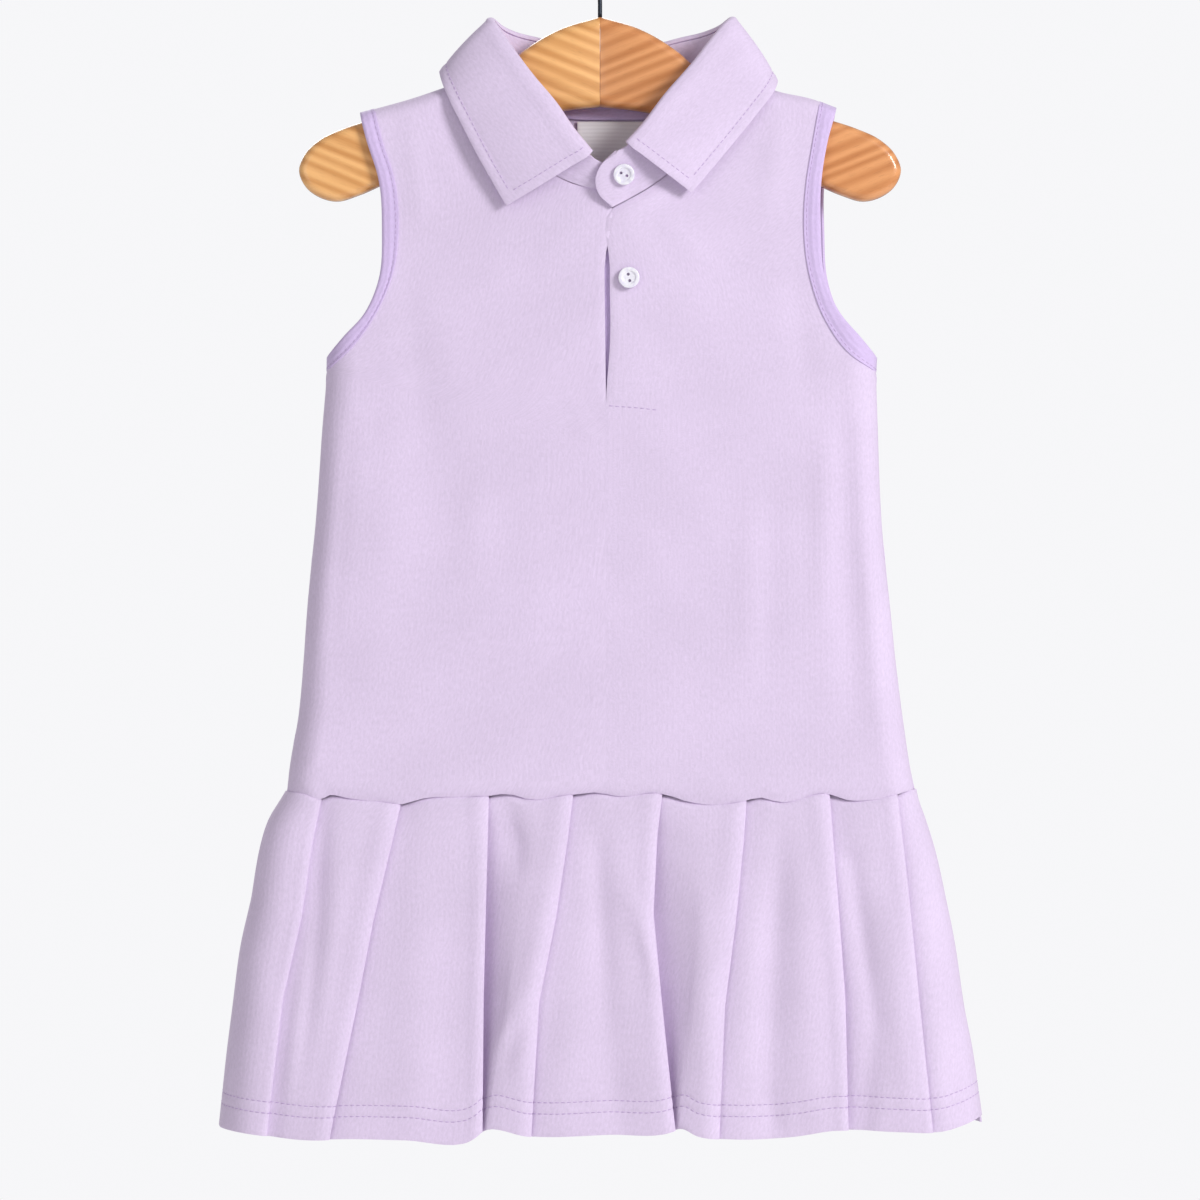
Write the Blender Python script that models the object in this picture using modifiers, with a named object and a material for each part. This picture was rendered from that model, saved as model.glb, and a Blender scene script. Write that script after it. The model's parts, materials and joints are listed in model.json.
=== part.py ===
"""Child's sleeveless tennis dress with a polo collar, hung on a flat wooden hanger.

The origin is the underside of the hook's crown, where a rail would bear. +Z is up and the
front of the dress faces -Y. Every length in the tables and constants is in millimetres,
and one function turns them into metres.
"""
import math

import bmesh
import bpy
import numpy as np

MM = 0.001

# Cloth walls
BODY_WALL = 1.2
SKIRT_WALL = 1.0
BINDING_WALL = 1.8
COLLAR_WALL = 1.6
PLACKET_WALL = 1.2
TRIM_WALL = 1.0

# Gaps that part the sewn pieces
SEAM_HALF_GAP = 0.3
NECK_SEAM_GAP = 1.3
ROLL_SEAM_GAP = 0.7
STAND_INSET = 1.3
STAND_INSET_REACH = 13.0
WAIST_SEAM_GAP = 0.5
LAYER_GAP = 0.5

# Body form
SIDE_ROUND = 15.0
SHOULDER_ROUND = 8.0
SHOULDER_REACH = 30.0
CHEST_LIFT = 5.0
CHEST_CENTRE_X = 5.0
CHEST_CENTRE_Z = -165.0
CHEST_SPREAD_X = 45.0
CHEST_SPREAD_Z = 55.0

# Height z, outline x on the left and right, fullness to the front and to the back
BODY_TABLE = (
    (-86.0, -138.4, 139.9, 9.0, 10.5),
    (-160.0, -138.4, 139.9, 10.5, 11.0),
    (-241.3, -138.4, 139.9, 12.5, 12.0),
    (-272.0, -140.9, 140.9, 13.0, 12.5),
    (-302.0, -142.9, 141.9, 13.4, 13.0),
    (-332.0, -145.4, 143.8, 13.8, 13.4),
    (-362.0, -148.6, 147.3, 14.2, 13.8),
    (-393.0, -150.6, 150.3, 14.8, 14.2),
    (-423.0, -153.8, 154.3, 15.4, 14.6),
    (-440.0, -157.0, 156.8, 15.7, 14.8),
    (-456.0, -158.8, 159.6, 16.0, 15.0),
)

# Top line of the body, x and z, from the left armhole over the neck to the right armhole
SHOULDER_LINE = (
    (-125.0, -111.5),
    (-114.6, -108.6),
    (-96.0, -103.4),
    (-82.8, -99.0),
    (-50.5, -86.7),
    (5.0, -66.0),
    (61.6, -85.7),
    (88.9, -99.2),
    (108.0, -103.6),
    (120.2, -108.3),
    (125.0, -110.0),
)

# Armholes from the shoulder to the underarm: seam x and z, outer edge x and z, and how far
# the edge at the back stands out past the one at the front
ARMHOLE_LEFT = (
    (-114.6, -108.6, -121.6, -110.5, 0.0),
    (-110.6, -124.6, -118.0, -124.6, 0.0),
    (-104.2, -145.0, -111.7, -145.0, 0.0),
    (-102.2, -170.0, -110.0, -170.0, 0.0),
    (-105.5, -194.0, -111.5, -195.0, 0.0),
    (-113.4, -212.5, -118.7, -212.5, 0.0),
    (-124.5, -228.5, -129.5, -224.5, 0.0),
    (-138.4, -241.3, -138.3, -234.5, 0.0),
)
ARMHOLE_RIGHT = (
    (111.6, -104.9, 119.8, -108.1, 0.0),
    (107.8, -126.0, 114.8, -126.0, 2.0),
    (104.3, -148.0, 111.6, -147.0, 2.3),
    (103.3, -170.0, 111.4, -170.0, 2.6),
    (106.0, -193.0, 113.2, -193.5, 2.2),
    (113.6, -215.0, 120.5, -211.5, 1.2),
    (126.6, -233.0, 132.3, -225.5, 0.4),
    (139.8, -241.8, 140.2, -234.7, 0.0),
)
# Places of the body's rows along an armhole, counted in rows of the tables above
ARMHOLE_STEPS = (0.0, 0.03, 0.13, 0.3, 0.6, 1.1, 1.8, 2.6, 3.4, 4.2, 5.1, 5.9, 6.5, 6.78, 6.93,
                 7.0)
# Places across a binding from its outer edge, and where the edge lies in its wall
BINDING_SHARES = (0.0, 0.5, 0.93)
BINDING_SHIFT = -0.67

# Collar stations from the left front round the back to the right front: neck seam x and z,
# roll line x, y and z, outer edge of the fall x, y and z
COLLAR_TABLE = (
    (9.0, -152.5, 8.0, -16.6, -138.0, None, None, None),
    (2.5, -151.4, -4.0, -19.5, -131.2, -47.0, -16.5, -158.5),
    (-23.7, -142.8, -19.0, -18.8, -110.5, -60.5, -15.6, -135.0),
    (-43.9, -121.6, -34.3, -14.5, -91.8, -70.7, -14.2, -115.0),
    (-50.8, -97.5, -48.0, -7.2, -72.5, -78.5, -9.8, -98.6),
    (-50.5, -86.7, -54.0, 0.0, -62.5, -80.8, 0.0, -89.8),
    (-46.5, -97.5, -47.5, 8.0, -67.0, -75.5, 12.8, -100.0),
    (-28.0, -106.3, -27.0, 12.0, -72.6, -50.0, 15.6, -111.0),
    (5.6, -109.5, 5.6, 13.0, -78.7, 5.6, 17.0, -119.0),
    (39.0, -106.3, 36.5, 12.0, -72.6, 61.0, 15.6, -112.5),
    (57.5, -97.5, 59.0, 8.0, -66.5, 84.5, 13.4, -102.0),
    (61.6, -85.7, 65.7, 0.0, -62.0, 89.4, 0.0, -94.3),
    (61.4, -97.5, 57.5, -7.2, -72.0, 87.6, -10.8, -100.5),
    (50.5, -124.1, 42.5, -14.5, -91.5, 77.0, -14.2, -114.5),
    (33.0, -143.8, 26.5, -19.4, -109.5, 61.5, -15.9, -133.5),
    (14.0, -155.6, 13.1, -22.6, -126.6, 46.0, -17.6, -151.9),
    (6.1, -160.0, 8.4, -23.0, -129.2, None, None, None),
)
LEFT_FRONT = 1
LEFT_SIDE = 5
RIGHT_SIDE = 11
RIGHT_FRONT = 15
TAB_END = 16
# Places of the neckline's rows, counted from the shoulder towards the front and the back
FRONT_NECK_STEPS = (0.0, 0.08, 0.2, 0.4, 0.8, 1.4, 2.1, 2.8, 3.4, 4.0)
BACK_NECK_STEPS = (0.0, 0.08, 0.2, 0.4, 0.8, 1.3, 1.8, 2.4, 3.0)
TAB_BULGE = 9.5
TAB_LIFT = 2.2
# Step either side of a station over which the collar's directions are taken
STATION_STEP = 0.02
LEAST_SLANT = 0.3
STAND_ROWS = (0.0, 0.25, 0.5, 0.75, 1.0)
ROLL_RADIUS = 1.9
FALL_BULGE = 1.4
# Angles of the turn over the roll line, and places down the fall
ROLL_ANGLES = (180.0, 125.0, 70.0, 15.0)
FALL_ROWS = (0.2, 0.4, 0.6, 0.8, 1.0)

# Front slit from the neckline down: z, x of the left edge, x of the right flap's edge
SLIT_TABLE = (
    (-160.0, 0.4, 6.1),
    (-178.0, 2.0, 6.0),
    (-195.0, 2.4, 4.6),
    (-222.0, 2.6, 5.2),
    (-244.0, 2.9, 4.9),
    (-259.0, 3.0, 3.0),
)
CENTRE_X = 3.0
BACK_CENTRE_X = 5.6

# Under strip of the placket
PLACKET_LEFT = -4.0
PLACKET_RIGHT = 24.0
PLACKET_TOP = -163.0
PLACKET_BOTTOM = -262.0
PLACKET_GAP = 0.8
PLACKET_ROWS = 7
PLACKET_SHARES = (0.0, 0.2, 0.45, 0.7, 1.0)

# Heights of the body's lower rows: at the side and at the centre
LOWER_ROWS = (
    (-251.0, -283.0),
    (-266.0, -294.0),
    (-288.0, -309.0),
    (-318.0, -331.0),
    (-350.0, -358.0),
    (-384.0, -388.0),
    (-416.0, -418.0),
    (-440.0, -440.0),
)
# Heights of the centre between the neckline and the underarm's row, front and back
FRONT_CENTRE_ROWS = (-190.0, -225.0, -259.0, -267.0, -272.0, -276.0)
BACK_CENTRE_ROWS = (-132.0, -168.0, -210.0, -248.0, -262.0, -270.0, -276.0)
# Shares of a row's width from the side to the centre
COLUMN_SHARES = (0.0, 0.002, 0.014, 0.04, 0.09, 0.17, 0.3, 0.46, 0.64, 0.82, 1.0)

# Waist seam, x and z
WAIST_LINE = (
    (-170.0, -454.6),
    (-140.0, -457.0),
    (-105.0, -458.4),
    (-62.0, -456.6),
    (0.0, -454.8),
    (50.0, -456.8),
    (105.0, -456.8),
    (140.0, -455.6),
    (170.0, -452.6),
)
# Hem at the front, x and z
HEM_LINE = (
    (-198.0, -622.5),
    (-150.0, -626.5),
    (-60.0, -626.4),
    (4.0, -624.2),
    (38.0, -622.4),
    (75.0, -626.3),
    (116.0, -621.6),
    (155.0, -622.6),
    (184.0, -619.8),
    (198.0, -617.2),
)
HEM_BACK_Z = -622.0
# How far round a side the front's hem line fades into the back's
HEM_WRAP_DEPTH = 10.0

# Skirt outline down its length: share of the length, x at the left and right, depth to the
# front and to the back, rounding at the sides, arc by which the left seam lies forward
SKIRT_TABLE = (
    (0.00, -158.9, 159.9, 15.6, 14.6, 15.0, 0.0),
    (0.03, -161.8, 161.0, 16.2, 15.2, 15.5, 0.5),
    (0.10, -168.3, 165.0, 17.2, 16.2, 16.0, 2.0),
    (0.20, -173.0, 170.0, 18.8, 17.6, 17.0, 5.0),
    (0.33, -176.8, 174.8, 20.4, 19.2, 18.0, 9.0),
    (0.50, -183.0, 180.4, 22.6, 21.2, 19.5, 12.0),
    (0.65, -186.2, 184.0, 24.4, 22.8, 20.5, 13.0),
    (0.80, -189.4, 188.6, 26.0, 24.4, 21.5, 14.0),
    (1.00, -193.0, 193.2, 27.5, 26.0, 22.0, 14.0),
)
FRONT_LEVELS = (0.0, 0.035, 0.1, 0.19, 0.3, 0.42, 0.55, 0.68, 0.8, 0.91, 1.0)
BACK_LEVELS = (0.0, 0.06, 0.17, 0.33, 0.52, 0.76, 1.0)
# Points of half a ring, and the length over which its direction is taken
RING_STEPS = 160
RING_REACH = 0.8

# Knife pleats across the front at five heights. Each fold lies over the next panel and its
# edge faces right. Rows hold the edge's x, how far it folds back, how deep the fold goes,
# and how far right of the edge the next panel comes forward again.
PLEAT_HEIGHTS = (0.0, 0.12, 0.35, 0.6, 1.0)
FRONT_PLEATS = (
    {"edge": (-141.0, -145.0, -150.5, -160.0, -168.0), "back": (6.0, 6.0, 5.0, 4.0, 3.5),
     "deep": (2.3, 2.6, 2.8, 2.6, 2.4), "open": (0.4, 0.4, 0.4, 0.4, 0.4)},
    {"edge": (-101.0, -105.5, -114.5, -122.5, -136.5), "back": (13.0, 13.0, 12.5, 12.0, 11.0),
     "deep": (2.3, 3.0, 4.0, 5.0, 6.0), "open": (0.4, 0.4, 0.4, 0.4, 0.4)},
    {"edge": (-56.5, -57.0, -58.0, -59.0, -59.5), "back": (13.0, 9.0, 8.0, 7.5, 8.0),
     "deep": (2.3, 8.0, 14.0, 17.0, 17.0), "open": (0.4, 16.0, 13.5, 11.0, 2.2)},
    {"edge": (-14.0, -16.5, -22.5, -31.0, -35.0), "back": (13.0, 13.0, 12.5, 12.0, 11.0),
     "deep": (2.3, 3.4, 4.6, 5.6, 6.4), "open": (0.4, 0.4, 0.4, 0.4, 0.4)},
    {"edge": (31.0, 28.5, 26.5, 30.5, 37.5), "back": (13.0, 9.0, 8.0, 7.5, 8.0),
     "deep": (2.3, 8.0, 14.0, 17.0, 17.0), "open": (0.4, 14.0, 19.5, 14.0, 1.8)},
    {"edge": (73.5, 72.0, 68.0, 62.5, 59.5), "back": (13.0, 13.0, 12.5, 12.0, 11.0),
     "deep": (2.3, 3.4, 4.6, 5.6, 6.4), "open": (0.4, 0.4, 0.4, 0.4, 0.4)},
    {"edge": (115.5, 117.0, 120.0, 123.0, 124.5), "back": (13.0, 12.0, 10.0, 8.0, 6.5),
     "deep": (2.3, 3.4, 5.0, 7.0, 8.0), "open": (0.4, 1.2, 4.0, 9.5, 11.5)},
    {"edge": (150.0, 152.0, 156.0, 160.0, 167.0), "back": (8.0, 8.0, 7.0, 6.0, 5.0),
     "deep": (2.3, 2.8, 3.4, 3.8, 4.0), "open": (0.4, 0.4, 0.4, 0.4, 0.4)},
)
# The back has as many pleats, spread evenly and swaying towards the hem by these lengths
BACK_PLEAT_SWAY = (0.0, -4.0, 3.0, 5.0, -3.0, 1.0, -5.0, 2.0)
BACK_PLEAT_COUNT = len(BACK_PLEAT_SWAY)
BACK_PLEAT_START = 0.75
BACK_PLEAT_SPARE = 0.4
BACK_PLEAT = {"back": (12.0, 12.0, 11.5, 11.0, 10.0), "deep": (2.3, 3.4, 4.8, 6.0, 7.0),
              "open": (0.4, 1.0, 2.0, 3.0, 4.0)}
LAYER_PITCH = SKIRT_WALL + LAYER_GAP
FOLD_TURN = 1.3
FOLD_SLOPE = 0.75
# Least depth of a fold in layers, the slack under it, and the depth the next panel starts
# from where a fold stands open by more than OPEN_FROM
LEAST_FOLD_LAYERS = 1.5
UNDER_SLACK = 0.4
OPEN_FROM = 2.0
OPEN_UNDER = 2.4
UNDER_EASE = 1.5
# Places of the points between the left seam and the first fold
SIDE_SHARES = (0.06, 0.2, 0.4, 0.62, 0.82)
# Places of the points on a panel between two folds, and from the last fold to the seam
PANEL_SHARES = (0.5, 1.0)
LAST_PANEL_SHARES = (0.35, 0.7, 0.92)

# Hanger, one half from the top centre round the end to the bottom centre, x and z
HANGER_OUTLINE = (
    (0.0, -62.0),
    (20.2, -68.2),
    (40.9, -80.8),
    (50.5, -89.4),
    (66.0, -96.8),
    (83.0, -103.6),
    (98.0, -109.2),
    (113.6, -113.4),
    (130.0, -118.6),
    (141.5, -124.0),
    (149.2, -131.2),
    (152.5, -139.8),
    (149.4, -147.8),
    (142.4, -153.2),
    (133.6, -155.4),
    (122.5, -152.4),
    (108.0, -146.0),
    (80.0, -134.0),
    (52.0, -121.6),
    (26.0, -111.0),
    (0.0, -107.4),
)
HANGER_SPAN_STEPS = 3
HANGER_THICK = 13.0
HANGER_EDGE = 4.5
SMOOTH_ANGLE = 50.0

# Hook wire, the crown's inner side touching the origin
WIRE_RADIUS = 1.1
CROWN_RADIUS = 18.0
HOOK_TIP_ANGLE = 192.0
HOOK_TURN_ANGLE = -42.0
HOOK_STEPS = 20
HOOK_STEM = ((7.2, -36.6), (1.9, -42.6), (0.0, -49.0), (0.0, -55.0))
HOOK_FOOT_Z = -61.6

# Buttons
BUTTON_RADIUS = 5.35
BUTTON_HOLE_RADIUS = 0.75
BUTTON_HOLE_OFFSET = 1.65
BUTTON_SEAT = 0.4
BUTTON_SIDES = 20
DRILL_LENGTH = 9.0
DRILL_SIDES = 8
# Radius and height from the recess over the rim to the back
BUTTON_PROFILE = (
    (0.0, 1.6),
    (3.1, 1.6),
    (3.6, 2.16),
    (4.39, 2.3),
    (5.19, 1.73),
    (5.35, 0.92),
    (4.28, 0.0),
    (0.0, 0.0),
)
# Samples of the cloth under a button, and how far round it they count
SEAT_COLUMNS = 25
SEAT_ROWS = 21
SEAT_REACH = 1.5
# Name, x, z, turn of its holes and tilt of its face in degrees
BUTTONS = (
    ("button_top", 12.1, -142.8, 26.0, 13.0),
    ("button_lower", 14.6, -194.8, 78.0, 0.0),
)

# Neck tape and label on the inside of the back
TAPE_FROM = 6.75
TAPE_TO = 9.25
TAPE_STEPS = 12
TAPE_HALF_WIDTH = 4.0
TRIM_DEPTH = 2.6
LABEL_LEFT = -11.6
LABEL_RIGHT = 23.4
LABEL_TOP = -114.2
LABEL_BOTTOM = -136.0
LABEL_COLUMNS = 4
LABEL_ROWS = 3

# Materials: sRGB colour, roughness, metallic
FINISHES = {
    "lavender_knit": ("DCCBE6", 0.9, 0.0),
    "lavender_trim": ("D3BEE4", 0.9, 0.0),
    "white_label": ("F4F2F4", 0.7, 0.0),
    "pearl_button": ("F2F1F6", 0.25, 0.0),
    "varnished_wood": ("D99A5B", 0.3, 0.0),
    "black_wire": ("22252B", 0.4, 0.8),
}


def linear_colour(code):
    """Linear colour for an sRGB code written in hexadecimal."""
    shares = [int(code[i:i + 2], 16) / 255 for i in (0, 2, 4)]
    return [c / 12.92 if c <= 0.04045 else ((c + 0.055) / 1.055) ** 2.4 for c in shares] + [1.0]


def finish(name):
    """The Principled material of that name, made once."""
    material = bpy.data.materials.get(name)
    if material is None:
        code, roughness, metallic = FINISHES[name]
        material = bpy.data.materials.new(name)
        material.use_nodes = True
        shader = material.node_tree.nodes["Principled BSDF"]
        shader.inputs["Base Color"].default_value = linear_colour(code)
        shader.inputs["Roughness"].default_value = roughness
        shader.inputs["Metallic"].default_value = metallic
    return material


def spline(rows, at):
    """Point of a smooth curve through rows of numbers, at a place counted in rows."""
    rows = np.asarray(rows, float)
    span = int(min(max(at, 0), len(rows) - 1.000001))
    share = at - span
    start = rows[span]
    end = rows[span + 1]
    before = rows[span - 1] if span > 0 else 2 * start - end
    after = rows[span + 2] if span + 2 < len(rows) else 2 * end - start
    gap_before = np.linalg.norm(start - before)
    gap = np.linalg.norm(end - start)
    gap_after = np.linalg.norm(after - end)
    slope_start = gap * ((start - before) / gap_before - (end - before) / (gap_before + gap)
                         + (end - start) / gap)
    slope_end = gap * ((end - start) / gap - (after - start) / (gap + gap_after)
                       + (after - end) / gap_after)
    return ((2 * share ** 3 - 3 * share ** 2 + 1) * start
            + (share ** 3 - 2 * share ** 2 + share) * slope_start
            + (3 * share ** 2 - 2 * share ** 3) * end
            + (share ** 3 - share ** 2) * slope_end)


def fine_table(rows, steps=8):
    """The same table with more rows, read from the smooth curves through it."""
    places = np.linspace(0, len(rows) - 1, (len(rows) - 1) * steps + 1)
    return np.array([spline(rows, place) for place in places])


BODY_FINE = fine_table(BODY_TABLE)[::-1]
SHOULDER_FINE = fine_table(SHOULDER_LINE)
WAIST_FINE = fine_table(WAIST_LINE)
HEM_FINE = fine_table(HEM_LINE)
SKIRT_FINE = fine_table(SKIRT_TABLE)


def read(table, column, at):
    """Value of a table's column where its first column reads `at`."""
    return float(np.interp(at, table[:, 0], table[:, column]))


def round_over(share):
    """Quarter circle from 0 at the edge to 1 where the rounding ends."""
    return math.sqrt(1 - (1 - min(max(share, 0.0), 1.0)) ** 2)


def body_depth(x, z, side):
    """How far the body's outer face stands from the plane of the side seams."""
    from_side = min(x - read(BODY_FINE, 1, z), read(BODY_FINE, 2, z) - x)
    below_shoulder = read(SHOULDER_FINE, 1, x) - z
    fullness = read(BODY_FINE, 3 if side == "front" else 4, z)
    if side == "front":
        across = (x - CHEST_CENTRE_X) / CHEST_SPREAD_X
        along = (z - CHEST_CENTRE_Z) / CHEST_SPREAD_Z
        fullness += CHEST_LIFT * math.exp(-across ** 2 - along ** 2)
    return (SEAM_HALF_GAP + fullness * round_over(from_side / SIDE_ROUND)
            * round_over(below_shoulder / SHOULDER_ROUND))


def on_body(x, z, side, inward=0.0):
    """Point at or under the body's outer face, for a place seen from the front."""
    facing = -1 if side == "front" else 1
    return np.array((x, facing * (body_depth(x, z, side) - inward), z))


def collection(name):
    """The collection of that name, linked to the scene."""
    group = bpy.data.collections.new(name)
    bpy.context.scene.collection.children.link(group)
    return group


def mesh_object(name, verts, faces, group, material):
    """A mesh object in metres from points in millimetres."""
    mesh = bpy.data.meshes.new(name)
    mesh.from_pydata([tuple(MM * c for c in v) for v in verts], [], faces)
    mesh.materials.append(finish(material))
    mesh.shade_smooth()
    mesh.set_sharp_from_angle(angle=math.radians(SMOOTH_ANGLE))
    thing = bpy.data.objects.new(name, mesh)
    group.objects.link(thing)
    return thing


def weld(thing, distance=0.00001):
    """Join the points of a mesh that lie at the same place."""
    mesh = bmesh.new()
    mesh.from_mesh(thing.data)
    bmesh.ops.remove_doubles(mesh, verts=mesh.verts, dist=distance)
    mesh.to_mesh(thing.data)
    mesh.free()


def sheet(name, grids, wall, shift, group, material, closed=False):
    """Cloth through grids of points, given its wall by a Solidify modifier.

    Each grid is rows of points whose faces look out of the garment. `shift` is -1 where the
    wall lies inside the points, 0 where they run through its middle. Grids that share
    points are joined there, and `closed` joins each grid's last row to its first.
    """
    verts = []
    faces = []
    for grid in grids:
        first = len(verts)
        width = len(grid[0])
        for row in grid:
            verts.extend(row)
        count = len(grid)
        for i in range(count if closed else count - 1):
            for j in range(width - 1):
                here = first + i * width + j
                below = first + (i + 1) % count * width + j
                faces.append((here, below, below + 1, here + 1))
    thing = mesh_object(name, verts, faces, group, material)
    weld(thing)
    solid = thing.modifiers.new("wall", "SOLIDIFY")
    solid.thickness = wall * MM
    solid.offset = shift
    return thing


def armhole_row(table, at, side):
    """Seam and outer edge of an armhole at one place, front or back."""
    seam_x, seam_z, edge_x, edge_z, peek = spline(table, at)
    if side == "back":
        edge_x += math.copysign(peek, edge_x)
    return (seam_x, seam_z), (edge_x, edge_z)


def neck_point(at):
    """Place of the neck seam at a collar station, seen from the front."""
    return spline([row[:2] for row in COLLAR_TABLE], at)


def shoulder_z(x):
    """Height of the body's top line."""
    return read(SHOULDER_FINE, 1, x)


def half_panel(outer, inner, side, flip):
    """Grid of one half of a body panel between its outer and inner outlines.

    The first row is the shoulder seam, and the rows near it keep the shoulder's curve.
    """
    grid = []
    for (x0, z0), (x1, z1) in zip(outer, inner):
        drop = (shoulder_z(x0) - z0, shoulder_z(x1) - z1)
        if not grid:
            drop = (0.0, 0.0)
        follow = max(0.0, 1 - max(drop) / SHOULDER_REACH)
        row = []
        for share in COLUMN_SHARES:
            x = x0 + (x1 - x0) * share
            straight = z0 + (z1 - z0) * share
            along = shoulder_z(x) - drop[0] + (drop[0] - drop[1]) * share
            row.append(on_body(x, straight + (along - straight) * follow, side))
        grid.append(row[::-1] if flip else row)
    return grid


def waist_z(x):
    """Height of the waist seam."""
    return read(WAIST_FINE, 1, x)


def body_panels(group):
    """Front body with its slit, and back body."""
    edge_column = {"left": 1, "right": 2}
    for side in ("front", "back"):
        grids = []
        for hand, table in (("left", ARMHOLE_LEFT), ("right", ARMHOLE_RIGHT)):
            outer = [armhole_row(table, at, side)[0] for at in ARMHOLE_STEPS]
            start = LEFT_SIDE if hand == "left" else RIGHT_SIDE
            turn = 1 if hand == "left" else -1
            if side == "front":
                last = LEFT_FRONT if hand == "left" else TAB_END
                step = abs(last - start) / FRONT_NECK_STEPS[-1]
                inner = [neck_point(start - turn * at * step) for at in FRONT_NECK_STEPS]
                inner += [(inner_x(z, hand, side), z) for z in FRONT_CENTRE_ROWS]
            else:
                inner = [neck_point(start + turn * at) for at in BACK_NECK_STEPS]
                inner += [(inner_x(z, hand, side), z) for z in BACK_CENTRE_ROWS]
            for row in LOWER_ROWS:
                outer.append((read(BODY_FINE, edge_column[hand], row[0]), row[0]))
                inner.append((inner_x(row[1], hand, side), row[1]))
            end_x = read(BODY_FINE, edge_column[hand], waist_z(0))
            outer.append((end_x, waist_z(end_x)))
            inner.append((inner_x(waist_z(CENTRE_X), hand, side), waist_z(CENTRE_X)))
            flip = (hand == "right") != (side == "back")
            grids.append(half_panel(outer, inner, side, flip))
        for grid in grids:
            grid[-1] = [on_body(x, waist_z(x), side) for x, y, z in grid[-1]]
        sheet(side + "_body", grids, BODY_WALL, -1, group, "lavender_knit")


def inner_x(z, hand, side):
    """Where a half panel ends: the slit's edge at the front, else the centre."""
    if side == "back":
        return BACK_CENTRE_X
    table = np.array(SLIT_TABLE)[::-1]
    return read(table, 1 if hand == "left" else 2, z)


def bindings(group):
    """The band that closes the raw edge of each armhole, front and back in one loop."""
    for hand, table in (("left", ARMHOLE_LEFT), ("right", ARMHOLE_RIGHT)):
        loop = [("front", at) for at in ARMHOLE_STEPS]
        loop += [("back", at) for at in ARMHOLE_STEPS[-2:0:-1]]
        rows = []
        for side, at in loop:
            seam, edge = armhole_row(table, at, side)
            on_plane = at in (ARMHOLE_STEPS[0], ARMHOLE_STEPS[-1])
            row = []
            for share in BINDING_SHARES:
                x = edge[0] + (seam[0] - edge[0]) * share
                z = edge[1] + (seam[1] - edge[1]) * share
                point = on_body(x, z, side)
                if on_plane:
                    point[1] = 0.0
                row.append(point)
            rows.append(row if hand == "left" else row[::-1])
        sheet("armhole_binding_" + hand, [rows], BINDING_WALL, BINDING_SHIFT, group,
              "lavender_trim", closed=True)


def unit(vector):
    """The same direction at length 1."""
    return vector / np.linalg.norm(vector)


def collar_frame(at):
    """Neck point, roll point, and directions up the stand, along the roll and the neck."""
    def neck(place):
        x, z = neck_point(place)
        back = LEFT_SIDE < place < RIGHT_SIDE
        point = on_body(x, z, "back" if back else "front", BODY_WALL / 2)
        if place in (LEFT_SIDE, RIGHT_SIDE):
            point[1] = 0.0
        if place < LEFT_FRONT:
            point[1] += TAB_LIFT * (LEFT_FRONT - place)
        if place > RIGHT_FRONT:
            point[1] -= TAB_LIFT * (place - RIGHT_FRONT)
        return point

    def roll(place):
        return spline([row[2:5] for row in COLLAR_TABLE], place)

    low = max(at - STATION_STEP, 0)
    high = min(at + STATION_STEP, TAB_END)
    up = unit(roll(at) - neck(at))
    along = unit(roll(high) - roll(low))
    return neck(at), roll(at), up, along, unit(neck(high) - neck(low))


def slant(up, along):
    """How much longer a gap is along `up` than square to the seam that runs `along`."""
    return 1 / max(np.linalg.norm(np.cross(up, along)), LEAST_SLANT)


def collar_places(first, last):
    """Stations of the collar's columns, with the neckline's own rows among them."""
    left = [LEFT_SIDE - at for at in FRONT_NECK_STEPS]
    step = (TAB_END - RIGHT_SIDE) / FRONT_NECK_STEPS[-1]
    right = [RIGHT_SIDE + at * step for at in FRONT_NECK_STEPS]
    back = [LEFT_SIDE + at for at in BACK_NECK_STEPS] + [RIGHT_SIDE - at for at in BACK_NECK_STEPS]
    front_end = [0.0, LEFT_FRONT / 2, RIGHT_FRONT]
    places = sorted({round(p, 5) for p in left + right + back + front_end})
    return [p for p in places if first <= p <= last]


def stand_point(at, share):
    """Middle of the stand's wall at a station, from the neck seam (0) to its top (1)."""
    neck, roll, up, along, neck_along = collar_frame(at)
    foot = neck + up * NECK_SEAM_GAP * slant(up, neck_along)
    inset = STAND_INSET * max(0.0, 1 - abs(neck[1]) / STAND_INSET_REACH)
    foot -= unit(np.cross(up, along)) * inset
    top = roll - up * (ROLL_RADIUS + ROLL_SEAM_GAP) * slant(up, along)
    point = foot + (top - foot) * share
    if at > RIGHT_FRONT:
        point[0] -= TAB_BULGE * (at - RIGHT_FRONT) ** 2 * math.sin(math.pi * share) ** 0.7
    return point


def collar(group):
    """Stand round the neck, and the fall that turns over it."""
    rows = [[stand_point(at, share) for share in STAND_ROWS]
            for at in collar_places(0, TAB_END)]
    sheet("collar_stand", [rows], COLLAR_WALL, 0, group, "lavender_knit")
    rows = []
    for at in collar_places(LEFT_FRONT, RIGHT_FRONT):
        neck, roll, up, along, neck_along = collar_frame(at)
        out = unit(np.cross(up, along))
        up = np.cross(along, out)
        centre = roll - up * ROLL_RADIUS + out * ROLL_RADIUS
        row = []
        for angle in ROLL_ANGLES:
            turn = math.radians(angle)
            row.append(centre + ROLL_RADIUS * (math.cos(turn) * out + math.sin(turn) * up))
        start = row[-1]
        end = spline([line[5:] for line in COLLAR_TABLE[LEFT_FRONT:RIGHT_FRONT + 1]],
                     at - LEFT_FRONT)
        for share in FALL_ROWS:
            bulge = FALL_BULGE * math.sin(math.pi * share)
            row.append(start + (end - start) * share + out * bulge)
        rows.append(row)
    sheet("collar_fall", [rows], COLLAR_WALL, 0, group, "lavender_knit")


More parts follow.
